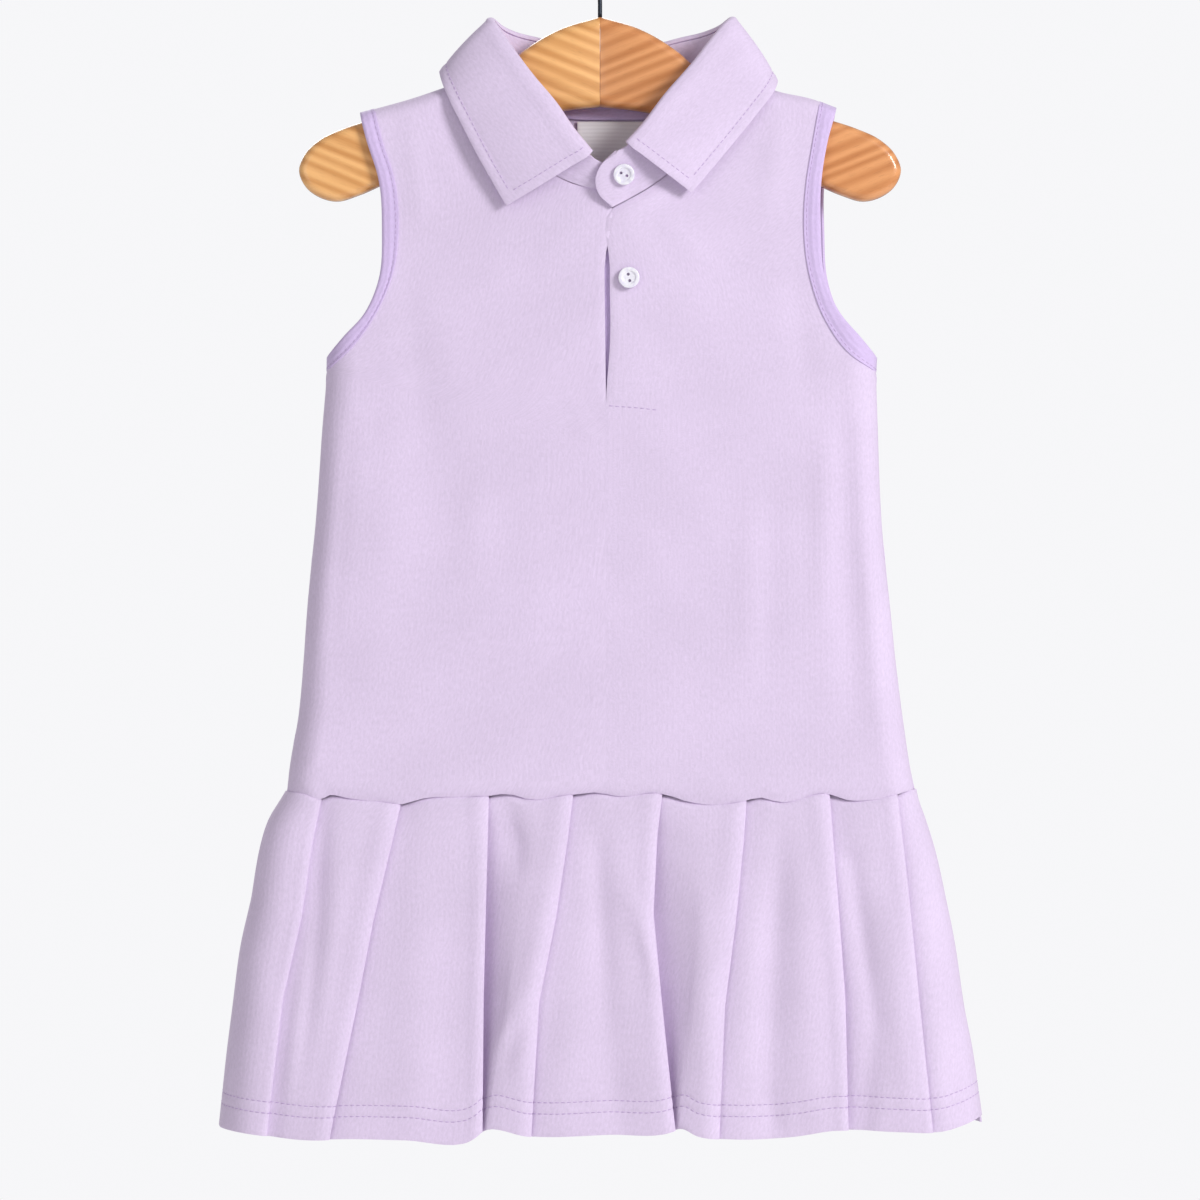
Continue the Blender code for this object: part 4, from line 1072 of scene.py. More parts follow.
def one_stitch(length, width):
    """Points of a stitch along X with Z out of the cloth, and its faces."""
    rings = []
    for share, size, height in STITCH_PROFILE:
        for turn in np.linspace(0, 2 * math.pi, STITCH_SIDES, endpoint=False):
            rings.append(((share - 0.5) * length, math.cos(turn) * size * width / 2,
                          (math.sin(turn) * size / 2 + height) * width))
    faces = [tuple(range(STITCH_SIDES))[::-1]]
    for ring in range(len(STITCH_PROFILE) - 1):
        for side in range(STITCH_SIDES):
            here = ring * STITCH_SIDES + side
            beside = ring * STITCH_SIDES + (side + 1) % STITCH_SIDES
            faces.append((here, beside, beside + STITCH_SIDES, here + STITCH_SIDES))
    last = (len(STITCH_PROFILE) - 1) * STITCH_SIDES
    faces.append(tuple(range(last, last + STITCH_SIDES)))
    return np.array(rings), faces


def sewing_piece(name, runs, sizes, colours):
    """All the stitches of some runs, joined in one mesh."""
    shape, shape_faces = one_stitch(sizes.stitch_length / MM, sizes.stitch_width / MM)
    verts = []
    faces = []
    for points, outs in runs:
        for middle, ahead, out in zip(*thread_run(points, outs, sizes.stitch_pitch / MM)):
            side = np.cross(out, ahead)
            side /= np.linalg.norm(side)
            up = np.cross(ahead, side)
            first = len(verts)
            verts.extend(middle + shape @ np.stack((ahead, side, up)))
            faces.extend(tuple(first + i for i in face) for face in shape_faces)
    thing = mesh_piece(name, verts, faces, sewing_thread(colours))
    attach(thing, BODY)
    return thing


def declare(piece, slot, *nodes):
    """Attach a piece to the body it rides on and hide the CAD nodes it stands for; the slot is not used.
    """
    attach(piece, BODY)
    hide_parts(*nodes)


def front_spot(piece, x, z):
    """Where a line straight from the front first meets a piece, and the way out."""
    hit, place, out, face = piece.ray_cast(Vector((x * MM, -RAY_START, z * MM)),
                                           Vector((0, 1, 0)))
    if not hit:
        raise RuntimeError(f"{piece.name} isn't under x {x:.1f}, z {z:.1f}")
    return np.array(place) / MM, np.array(out)


def spots_on(piece, line):
    """A line of places on a piece's front, given by x and z."""
    lengths = [0.0]
    for (x0, z0), (x1, z1) in zip(line, line[1:]):
        lengths.append(lengths[-1] + math.hypot(x1 - x0, z1 - z0))
    line = np.array(line)
    wheres = np.linspace(0, lengths[-1], TRACED_PLACES)
    found = [front_spot(piece, np.interp(w, lengths, line[:, 0]),
                        np.interp(w, lengths, line[:, 1])) for w in wheres]
    return np.array([f[0] for f in found]), np.array([f[1] for f in found])


def add_node(tree, kind, inputs=None, **settings):
    """Add a shader node, set it up and fill its sockets with values or other outputs."""
    node = tree.nodes.new(kind)
    for name, value in settings.items():
        setattr(node, name, value)
    for name, value in (inputs or {}).items():
        if isinstance(value, bpy.types.NodeSocket):
            tree.links.new(value, node.inputs[name])
        else:
            node.inputs[name].default_value = value
    return node


def new_material(name, roughness, **shader_values):
    """A new material of that name, its node tree and its Principled shader."""
    material = bpy.data.materials.new(name)
    material.use_nodes = True
    shader = material.node_tree.nodes["Principled BSDF"]
    shader.inputs["Roughness"].default_value = roughness
    for socket, value in shader_values.items():
        shader.inputs[socket.replace("_", " ")].default_value = value
    return material, material.node_tree, shader


def shade(colour, factor):
    """A colour made lighter or darker."""
    return [c * factor for c in colour[:3]] + [1.0]


def cotton_knit(name, colour, rib=0.0):
    """Combed cotton interlock: matt, with fine wales, a faint fleck of paler fibres and fuzz."""
    if name in bpy.data.materials:
        return bpy.data.materials[name]
    material, tree, shader = new_material(name, 0.88, Sheen_Weight=0.18, Sheen_Roughness=0.5,
                                          Specular_IOR_Level=0.25)
    where = add_node(tree, "ShaderNodeTexCoord").outputs["UV"]
    # Real wales are 0.7 mm apart, drawn four times as coarse so that they show
    wales = add_node(tree, "ShaderNodeTexWave",
                     {"Vector": where, "Scale": WAVE_PERIOD / WALE_WIDTH, "Distortion": 1.2,
                      "Detail": 2.0, "Detail Scale": 1.5},
                     wave_type="BANDS", bands_direction="X").outputs["Fac"]
    stretch = add_node(tree, "ShaderNodeMapping", {"Vector": where, "Scale": (1.0, 0.45, 1.0)})
    fleck = add_node(tree, "ShaderNodeTexNoise", {"Vector": stretch.outputs[0], "Scale": 1 / FLECK_SIZE,
                                                  "Detail": 3.0, "Roughness": 0.65}).outputs["Fac"]
    cloud = add_node(tree, "ShaderNodeTexNoise", {"Vector": where, "Scale": 22.0, "Detail": 2.0}
                     ).outputs["Fac"]
    flecked = add_node(tree, "ShaderNodeMapRange", {"Value": fleck, "From Min": 0.3, "From Max": 0.7,
                                                    "To Min": 0.0, "To Max": 1.0}).outputs[0]
    tone = add_node(tree, "ShaderNodeMix", {0: flecked, 6: shade(colour, 0.93), 7: shade(colour, 1.06)},
                    data_type="RGBA").outputs[2]
    clouded = add_node(tree, "ShaderNodeMapRange", {"Value": cloud, "From Min": 0.35, "From Max": 0.65,
                                                    "To Min": 0.975, "To Max": 1.02}).outputs[0]
    lit = add_node(tree, "ShaderNodeVectorMath", {0: tone, "Scale": clouded}, operation="SCALE")
    tree.links.new(lit.outputs[0], shader.inputs["Base Color"])
    height = add_node(tree, "ShaderNodeMix", {0: 0.6 - 0.4 * rib, 2: wales, 3: fleck}).outputs[0]
    bump = add_node(tree, "ShaderNodeBump", {"Height": height, "Strength": 0.28 + rib * 0.3,
                                             "Distance": KNIT_BUMP})
    tree.links.new(bump.outputs[0], shader.inputs["Normal"])
    return material


def sewing_thread(colours):
    """Spun polyester thread: its own lavender, made darker than the trim by painted shade of the stitch
    grooves, twisted, with a low gloss.
    """
    # The thread's colour holds painted shade of the stitch grooves on top of its own lavender
    name = "lavender_thread_painted_shade"
    if name in bpy.data.materials:
        return bpy.data.materials[name]
    material, tree, shader = new_material(name, 0.6, Sheen_Weight=0.1)
    where = add_node(tree, "ShaderNodeTexCoord").outputs["Object"]
    noise = add_node(tree, "ShaderNodeTexNoise", {"Vector": where, "Scale": 2500.0, "Detail": 2.0})
    # Twist flecks around the thread colour, which already holds the painted groove shade
    tone = add_node(tree, "ShaderNodeMix", {0: noise.outputs["Fac"], 6: shade(colours.thread, 0.85),
                                            7: shade(colours.thread, 1.1)}, data_type="RGBA")
    tree.links.new(tone.outputs[2], shader.inputs["Base Color"])
    return material


def woven_satin(colours):
    """Damask label tape: white polyester satin with fine weft ribs."""
    material, tree, shader = new_material("white_woven_satin", 0.45, Sheen_Weight=0.3)
    where = add_node(tree, "ShaderNodeTexCoord").outputs["UV"]
    ribs = add_node(tree, "ShaderNodeTexWave", {"Vector": where, "Scale": 160.0, "Distortion": 0.4},
                    wave_type="BANDS", bands_direction="X")
    tone = add_node(tree, "ShaderNodeMix", {0: ribs.outputs["Fac"], 6: shade(colours.label, 0.94),
                                            7: shade(colours.label, 1.0)}, data_type="RGBA")
    tree.links.new(tone.outputs[2], shader.inputs["Base Color"])
    bump = add_node(tree, "ShaderNodeBump", {"Height": ribs.outputs["Fac"], "Strength": 0.25,
                                             "Distance": 0.0002})
    tree.links.new(bump.outputs[0], shader.inputs["Normal"])
    return material


def varnished_wood(name, colour, turn, seed):
    """Clear-varnished hardwood: long soft grain along the arm under a gloss coat."""
    material, tree, shader = new_material(name, 0.42, Coat_Weight=0.7, Coat_Roughness=0.08)
    where = add_node(tree, "ShaderNodeTexCoord").outputs["Object"]
    turned = add_node(tree, "ShaderNodeMapping",
                      {"Vector": where, "Location": (seed, 0.0, 0.0),
                       "Rotation": (0.0, math.radians(turn), 0.0)}).outputs[0]
    long_grain = add_node(tree, "ShaderNodeMapping", {"Vector": turned, "Scale": GRAIN_STRETCH})
    warp = add_node(tree, "ShaderNodeTexNoise", {"Vector": long_grain.outputs[0], "Scale": 1.0,
                                                 "Detail": 5.0, "Roughness": 0.55, "Distortion": 0.6})
    rings = add_node(tree, "ShaderNodeMapping", {"Vector": turned, "Scale": RING_STRETCH})
    bands = add_node(tree, "ShaderNodeTexWave", {"Vector": rings.outputs[0], "Scale": 0.8,
                                                 "Distortion": 5.0, "Detail": 3.0, "Detail Scale": 1.2},
                     wave_type="BANDS", bands_direction="Z")
    pores = add_node(tree, "ShaderNodeMapping", {"Vector": turned, "Scale": PORE_STRETCH})
    pore = add_node(tree, "ShaderNodeTexNoise", {"Vector": pores.outputs[0], "Scale": 1.0,
                                                 "Detail": 1.0}).outputs["Fac"]
    mixed = add_node(tree, "ShaderNodeMix", {0: 0.35, 2: warp.outputs["Fac"], 3: bands.outputs["Fac"]})
    spread = add_node(tree, "ShaderNodeMapRange", {"Value": mixed.outputs[0], "From Min": 0.3,
                                                   "From Max": 0.72}).outputs[0]
    dark = [c * factor for c, factor in zip(colour, DARK_GRAIN)] + [1.0]
    tone = add_node(tree, "ShaderNodeMix", {0: spread, 6: dark, 7: shade(colour, 1.12)},
                    data_type="RGBA").outputs[2]
    specks = add_node(tree, "ShaderNodeMapRange", {"Value": pore, "From Min": 0.25, "From Max": 0.4,
                                                   "To Min": 0.86, "To Max": 1.0}).outputs[0]
    lit = add_node(tree, "ShaderNodeVectorMath", {0: tone, "Scale": specks}, operation="SCALE")
    tree.links.new(lit.outputs[0], shader.inputs["Base Color"])
    return material


def plated_wire(colours):
    """Black-plated steel wire: dark, smooth, with faint drawing marks."""
    material, tree, shader = new_material("black_plated_wire", 0.35, Metallic=0.85)
    where = add_node(tree, "ShaderNodeTexCoord").outputs["Object"]
    noise = add_node(tree, "ShaderNodeTexNoise", {"Vector": where, "Scale": 900.0, "Detail": 3.0})
    tone = add_node(tree, "ShaderNodeMix", {0: noise.outputs["Fac"], 6: shade(colours.wire, 0.7),
                                            7: shade(colours.wire, 1.3)}, data_type="RGBA")
    tree.links.new(tone.outputs[2], shader.inputs["Base Color"])
    rough = add_node(tree, "ShaderNodeMapRange", {"Value": noise.outputs["Fac"], "To Min": 0.28,
                                                  "To Max": 0.45})
    tree.links.new(rough.outputs[0], shader.inputs["Roughness"])
    return material


def pearl_polyester(colours):
    """Cast pearl polyester: milky white, polished, with soft lilac and green clouds."""
    material, tree, shader = new_material("pearl_polyester", 0.12, Coat_Weight=0.5,
                                          Coat_Roughness=0.05, IOR=1.55)
    where = add_node(tree, "ShaderNodeTexCoord").outputs["Object"]
    cloud = add_node(tree, "ShaderNodeTexNoise", {"Vector": where, "Scale": 260.0, "Detail": 2.0,
                                                  "Distortion": 1.5})
    tint = add_node(tree, "ShaderNodeMapRange", {"Value": cloud.outputs["Fac"], "From Min": 0.35,
                                                 "From Max": 0.65}).outputs[0]
    tone = add_node(tree, "ShaderNodeMix", {0: tint, 6: linear_colour("E4DFF0"), 7: list(colours.pearl)},
                    data_type="RGBA")
    tree.links.new(tone.outputs[2], shader.inputs["Base Color"])
    return material


def size_property(name, description, millimetres):
    """A length that a user may change, kept in metres."""
    return FloatProperty(name=name, description=description, default=millimetres * MM, min=0.0,
                         unit="LENGTH", subtype="DISTANCE")


def colour_property(name, description, code):
    """A colour that a user may change, from its sRGB code."""
    return FloatVectorProperty(name=name, description=description, default=linear_colour(code),
                               size=4, min=0.0, max=1.0, subtype="COLOR")


class DressSizes(bpy.types.PropertyGroup):
    """Sizes of the cloth, the sewing and the hard pieces."""

    body_wall: size_property("Body wall", "Thickness of the body's knit", 1.2)
    skirt_wall: size_property("Skirt wall", "Thickness of the skirt's knit", 1.0)
    collar_wall: size_property("Collar wall", "Thickness of the collar's two layers", 1.6)
    binding_wall: size_property("Binding wall", "Thickness of the folded armhole binding", 1.8)
    trim_wall: size_property("Trim wall", "Thickness of the tape and the label", 0.8)
    stitch_length: size_property("Stitch length", "Length of thread that shows", 2.3)
    stitch_pitch: size_property("Stitch pitch", "Distance from stitch to stitch", 3.0)
    stitch_width: size_property("Stitch width", "Thickness of the thread", 0.42)
    hanger_thickness: size_property("Hanger thickness", "Thickness of the wood", 13.0)
    wire_radius: size_property("Wire radius", "Half the thickness of the hook's wire", 1.1)
    button_radius: size_property("Button radius", "Half a button's width", 5.35)
    button_thickness: size_property("Button thickness", "Height of a button's rim", 2.3)


class DressColours(bpy.types.PropertyGroup):
    """Colours of the cloth, the sewing, the hard pieces and the stage."""

    knit: colour_property("Knit", "Colour of the knit panels", "DCCBE6")
    trim: colour_property("Trim", "Colour of the binding, tape and placket strip", "D3BEE6")
    # Thread colour: the thread's own lavender, with painted shade of the stitch grooves darkening it
    # below the trim
    thread: colour_property("Thread", "Colour of the sewing thread", "C3AAD4")
    label: colour_property("Label", "Colour of the neck label", "F6F3F6")
    pearl: colour_property("Pearl", "Colour of the buttons", "F7F6FA")
    light_wood: colour_property("Light wood", "Colour of the hanger's left half", "EDB473")
    dark_wood: colour_property("Dark wood", "Colour of the hanger's right half", "DE9A62")
    wire: colour_property("Wire", "Colour of the hook", "30343D")
    floor: colour_property("Floor", "Colour of the floor", "F2F1F2")


def settings(context):
    """The sizes and colours that the user has set."""
    return context.scene.dress_sizes, context.scene.dress_colours


def knit_of(colours):
    """The knit of the panels."""
    return cotton_knit("lavender_interlock_knit", colours.knit)


def rib_of(colours):
    """The ribbed knit of the bindings and the placket's under strip."""
    return cotton_knit("lavender_rib_knit", colours.trim, 1.0)


class DRESS_OT_body(bpy.types.Operator):
    """Front and back body with their soft folds, the placket's under strip and its stitches"""

    bl_idname = "dress.body"
    bl_label = "Build the body"

    def execute(self, context):
        """Build the panels from the part's own tables."""
        sizes, colours = settings(context)
        for side, folds in (("front", FRONT_BODY_FOLDS), ("back", BACK_BODY_FOLDS)):
            halves = []
            grids = [refine(body_half(side, hand), BODY_FINENESS, BODY_FINENESS)
                     for hand in ("left", "right")]
            if side == "front":
                joined = SLIT_END_ROW * BODY_FINENESS
                grids[1][joined:, 0] = grids[0][joined:, -1]
            else:
                grids[1][:, -1] = grids[0][:, 0]
            for grid in grids:
                x = grid[..., 0]
                z = grid[..., 2]
                z[-1] = waist_z(x[-1])
                from_side = np.minimum(x - read(BODY_FINE, 1, z), read(BODY_FINE, 2, z) - x)
                fade = np.clip(from_side / FOLD_SIDE_FADE, 0, 1)
                lift = soft_folds(folds, x, z) * fade
                above_seam = z - waist_z(x)
                lift -= SEAM_ROLL * np.exp(-(above_seam / SEAM_ROLL_HEIGHT) ** 2)
                lift += SEAM_PUFF * np.exp(-((above_seam - SEAM_PUFF_UP) / SEAM_PUFF_REACH) ** 2)
                halves.append(Cloth(on_body(x, z, side, -lift)))
            piece = cloth_piece(side + "_body_cloth", halves, sizes.body_wall, -1, knit_of(colours))
            declare(piece, "lavender_knit", side + "_body")
            if side == "front":
                run = spots_on(piece, PLACKET_STITCHES)
                sewing_piece("placket_stitches", [run], sizes, colours)
        grid = [[on_body(PLACKET_LEFT + (PLACKET_RIGHT - PLACKET_LEFT) * share, z, "front",
                         sizes.body_wall / MM + PLACKET_GAP) for share in PLACKET_SHARES]
                for z in np.linspace(PLACKET_TOP, PLACKET_BOTTOM, PLACKET_ROWS)]
        strip = Cloth(refine(grid, STRIP_FINENESS, STRIP_FINENESS))
        strip = cloth_piece("placket_under_cloth", [strip], PLACKET_WALL * MM, -1, rib_of(colours))
        declare(strip, "lavender_trim", "placket_under")
        return {"FINISHED"}


class DRESS_OT_bindings(bpy.types.Operator):
    """Folded bands that close the armholes, each with a line of stitches at its inner edge"""

    bl_idname = "dress.bindings"
    bl_label = "Build the armhole bindings"

    def execute(self, context):
        """Build one closed band for each armhole."""
        sizes, colours = settings(context)
        for hand, table in (("left", ARMHOLE_LEFT), ("right", ARMHOLE_RIGHT)):
            steps = np.linspace(0, len(table) - 1, BINDING_STATIONS)
            loop = [("front", at) for at in steps] + [("back", at) for at in steps[-2:0:-1]]
            rows = []
            for side, at in loop:
                seam, edge = armhole_row(table, at, side)
                facing = -1 if side == "front" else 1
                row = []
                for share, crown in BINDING_SECTION:
                    point = on_body(edge[0] + (seam[0] - edge[0]) * share,
                                    edge[1] + (seam[1] - edge[1]) * share, side)
                    if at in (steps[0], steps[-1]):
                        point[1] = 0.0
                    else:
                        point[1] += facing * crown
                    row.append(point)
                rows.append(row if hand == "left" else row[::-1])
            band = Cloth(rows)
            piece = cloth_piece("armhole_binding_" + hand + "_rib", [band], sizes.binding_wall,
                                BINDING_SHIFT, rib_of(colours), closed=True)
            declare(piece, "lavender_trim", "armhole_binding_" + hand)
            place = np.interp(BINDING_STITCH_SHARE, [s for s, crown in BINDING_SECTION],
                              range(len(BINDING_SECTION)))
            if hand == "right":
                place = len(BINDING_SECTION) - 1 - place
            lift = sizes.binding_wall / MM * (1 + BINDING_SHIFT) / 2
            run = band.run(np.arange(len(rows)), place, lift)
            sewn = sewing_piece("armhole_stitches_" + hand, [run], sizes, colours)
        return {"FINISHED"}


def stitched_line(cloth, stitch_in, lift, past_roll):
    """Lines on the fall at a distance from its outer edge and from its two ends."""
    rows, columns = cloth.points.shape[:2]
    from_edge = cloth.along[:, -1:] - cloth.along
    inside = [i for i in range(rows)
              if stitch_in < cloth.down[i, -1] < cloth.down[-1, -1] - stitch_in]
    places = [np.interp(-stitch_in, -from_edge[i], range(columns)) for i in inside]
    runs = [cloth.run(inside, places, lift)]
    for end in ("left", "right"):
        tops = []
        stations = []
        for j in np.linspace(past_roll, columns - 1, END_STITCH_PLACES):
            down = on_grid(cloth.down[..., None], np.arange(rows), np.full(rows, j))[:, 0]
            reach = stitch_in if end == "left" else down[-1] - stitch_in
            row = np.interp(reach, down, range(rows))
            edge = np.interp(row, range(rows), cloth.along[:, -1])
            length = on_grid(cloth.along[..., None], np.array([row]), np.array([j]))[0, 0]
            if edge - length > stitch_in:
                tops.append(j)
                stations.append(row)
        runs.append(cloth.run(stations, tops, lift))
    return runs


class DRESS_OT_collar(bpy.types.Operator):
    """Collar stand with its buttoned tab, and the turned-down fall with topstitching"""

    bl_idname = "dress.collar"
    bl_label = "Build the collar"

    def execute(self, context):
        """Build the stand and the fall round the neck."""
        sizes, colours = settings(context)
        lift = sizes.collar_wall / MM / 2
        grid = [[stand_point(at, share) for share in STAND_ROWS]
                for at in collar_places(0, TAB_END)]
        stand = Cloth(refine(grid, COLLAR_FINENESS, COLLAR_FINENESS))
        rows, columns = stand.points.shape[:2]
        from_end = stand.down[-1:] - stand.down
        stand.lift(groove(np.minimum(stand.along, from_end), STAND_STITCH_IN))
        piece = cloth_piece("collar_stand_cloth", [stand], sizes.collar_wall, 0, knit_of(colours))
        declare(piece, "lavender_knit", "collar_stand")
        inside = [i for i in range(rows) if stand.down[-1, 0] - stand.down[i, 0] > STAND_STITCH_IN]
        places = [np.interp(STAND_STITCH_IN, stand.along[i], range(columns)) for i in inside]
        runs = [stand.run(inside, places, lift)]
        ends = []
        tops = []
        for j in range(columns):
            row = np.interp(stand.down[-1, j] - STAND_STITCH_IN, stand.down[:, j], range(rows))
            if stand.along[int(row), j] > STAND_STITCH_IN:
                ends.append(row)
                tops.append(j)
        runs.append(stand.run(ends, tops, lift))
        sewn = sewing_piece("collar_stand_stitches", runs, sizes, colours)

        grid = [fall_row(at) for at in collar_places(LEFT_FRONT, RIGHT_FRONT)]
        fall = Cloth(refine(grid, COLLAR_FINENESS, COLLAR_FINENESS))
        past_roll = (len(ROLL_ANGLES) - 1) * COLLAR_FINENESS
        from_edge = fall.along[:, -1:] - fall.along
        from_ends = np.minimum(fall.down, fall.down[-1:] - fall.down)
        flat_share = np.clip((np.arange(fall.points.shape[1]) - past_roll) / FALL_FLAT_COLUMNS,
                             0, 1)
        fall.lift(groove(np.minimum(from_edge, from_ends), COLLAR_STITCH_IN) * flat_share)
        piece = cloth_piece("collar_fall_cloth", [fall], sizes.collar_wall, 0, knit_of(colours))
        declare(piece, "lavender_knit", "collar_fall")
        runs = stitched_line(fall, COLLAR_STITCH_IN, lift, past_roll)
        sewn = sewing_piece("collar_fall_stitches", runs, sizes, colours)
        return {"FINISHED"}


class DRESS_OT_neck_trim(bpy.types.Operator):
    """Tape along the back neck seam and the bare woven label under it"""

    bl_idname = "dress.neck_trim"
    bl_label = "Build the neck tape and label"

    def execute(self, context):
        """Build the tape, its two lines of stitches and the label."""
        sizes, colours = settings(context)
        grid = []
        for at in np.linspace(TAPE_FROM, TAPE_TO, TAPE_STEPS):
            here = neck_point(at)
            along = neck_point(at + STATION_STEP) - neck_point(at - STATION_STEP)
            across = unit(np.array((-along[1], along[0])))
            grid.append([on_body(*(here + across * width), "back", TRIM_DEPTH)
                         for width in (-TAPE_HALF_WIDTH, 0.0, TAPE_HALF_WIDTH)])
        tape = Cloth(refine(grid, TRIM_FINENESS, TRIM_FINENESS))
        piece = cloth_piece("neck_tape_twill", [tape], sizes.trim_wall, 0, rib_of(colours))
        declare(piece, "lavender_trim", "neck_tape")
        rows, columns = tape.points.shape[:2]
        runs = [tape.run(np.arange(rows), np.full(rows, j), -sizes.trim_wall / MM / 2)
                for j in (TAPE_STITCH_COLUMN, columns - 1 - TAPE_STITCH_COLUMN)]
        sewn = sewing_piece("neck_tape_stitches", [(p, -o) for p, o in runs], sizes, colours)
        heights = np.linspace(LABEL_BOTTOM, LABEL_TOP, LABEL_ROWS)
        grid = [[on_body(x, z, "back", TRIM_DEPTH) for z in heights]
                for x in np.linspace(LABEL_LEFT, LABEL_RIGHT, LABEL_COLUMNS)]
        label = Cloth(refine(grid, STRIP_FINENESS, STRIP_FINENESS))
        piece = cloth_piece("label_satin", [label], sizes.trim_wall, 0, woven_satin(colours))
        declare(piece, "white_label", "label")
        return {"FINISHED"}


def skirt_grid(side):
    """Fine grid of one pleated half of the skirt, a row for each level."""
    rows = []
    places = None
    for level in SKIRT_ROWS:
        ring = SkirtRing(level)
        if side == "front":
            start = ring.wrap + WAIST_SEAM_GAP / 2
            end = ring.half - WAIST_SEAM_GAP / 2
            pleats = [pleat_at(columns, level) for columns in FRONT_PLEATS]
            for pleat in pleats:
                pleat["edge"] = ring.at_x(pleat["edge"])
        else:
            start = ring.half + WAIST_SEAM_GAP / 2
            end = ring.total + ring.wrap - WAIST_SEAM_GAP / 2
            pleats = []
            for i in range(BACK_PLEAT_COUNT):
                pleat = pleat_at(BACK_PLEAT, level)
                share = (i + BACK_PLEAT_START) / (BACK_PLEAT_COUNT + BACK_PLEAT_SPARE)
                pleat["edge"] = (start + (ring.total - start) * share
                                 + BACK_PLEAT_SWAY[i] * level)
                pleats.append(pleat)
        path = np.array(pleat_path(pleats, start, end))
        if places is None:
            spans = np.linalg.norm(np.diff(path, axis=0), axis=1)
            places = [0.0]
            for i, span in enumerate(spans):
                count = max(FOLD_POINTS, math.ceil(span / SKIRT_POINT_STEP))
                places.extend(i + (k + 1) / count for k in range(count))
        fine = np.array([spline(path, place) for place in places])
        xy = ring.place(fine[:, 0], fine[:, 1])
        x, y = xy[:, 0], xy[:, 1]
        top = waist_z(x) - WAIST_SEAM_GAP
        front_share = np.ones_like(x) if side == "front" else np.clip(-y / HEM_WRAP_DEPTH, 0, 1)
        bottom = read(HEM_FINE, 1, x) * front_share + HEM_BACK_Z * (1 - front_share)
        rows.append(np.stack((x, y, top + (bottom - top) * level), axis=1))
    return np.array(rows)


class DRESS_OT_skirt(bpy.types.Operator):
    """Pleated skirt front and back with soft folds and a twice-stitched hem"""

    bl_idname = "dress.skirt"
    bl_label = "Build the skirt"

    def execute(self, context):
        """Build both halves from the same rings as the part."""
        sizes, colours = settings(context)
        lift = sizes.skirt_wall / MM / 2
        for side, folds in (("front", FRONT_SKIRT_FOLDS), ("back", BACK_SKIRT_FOLDS)):
            grid = skirt_grid(side)
            x = grid[..., 0]
            z = grid[..., 2]
            from_side = SKIRT_FOLD_REACH - abs(x)
            level = np.array(SKIRT_ROWS)[:, None]
            slope = np.clip(from_side / FOLD_SIDE_FADE - (1 - level), 0, 1)
            facing = -1 if side == "front" else 1
            grid[..., 1] += facing * soft_folds(folds, x, z) * slope
            below_seam = waist_z(x) - z
            grid[..., 1] -= facing * SEAM_ROLL * np.exp(-(below_seam / SEAM_ROLL_HEIGHT) ** 2)
            cloth = Cloth(grid)
            above_hem = cloth.down[-1:] - cloth.down
            dent = sum(np.exp(-((above_hem - up) / GROOVE_HALF_WIDTH) ** 2)
                       for up in HEM_STITCHES_UP)
            cloth.lift(-GROOVE_DEPTH * dent * HEM_GROOVE)
            piece = cloth_piece("skirt_" + side + "_cloth", [cloth], sizes.skirt_wall, 0,
                                knit_of(colours))
            declare(piece, "lavender_knit", "skirt_" + side)
            runs = []
            rows, columns = grid.shape[:2]
            for up in HEM_STITCHES_UP:
                places = [np.interp(-up, -above_hem[:, j], range(rows)) for j in range(columns)]
                runs.append(cloth.run(places, np.arange(columns), lift))
            sewn = sewing_piece("hem_stitches_" + side, runs, sizes, colours)
        return {"FINISHED"}


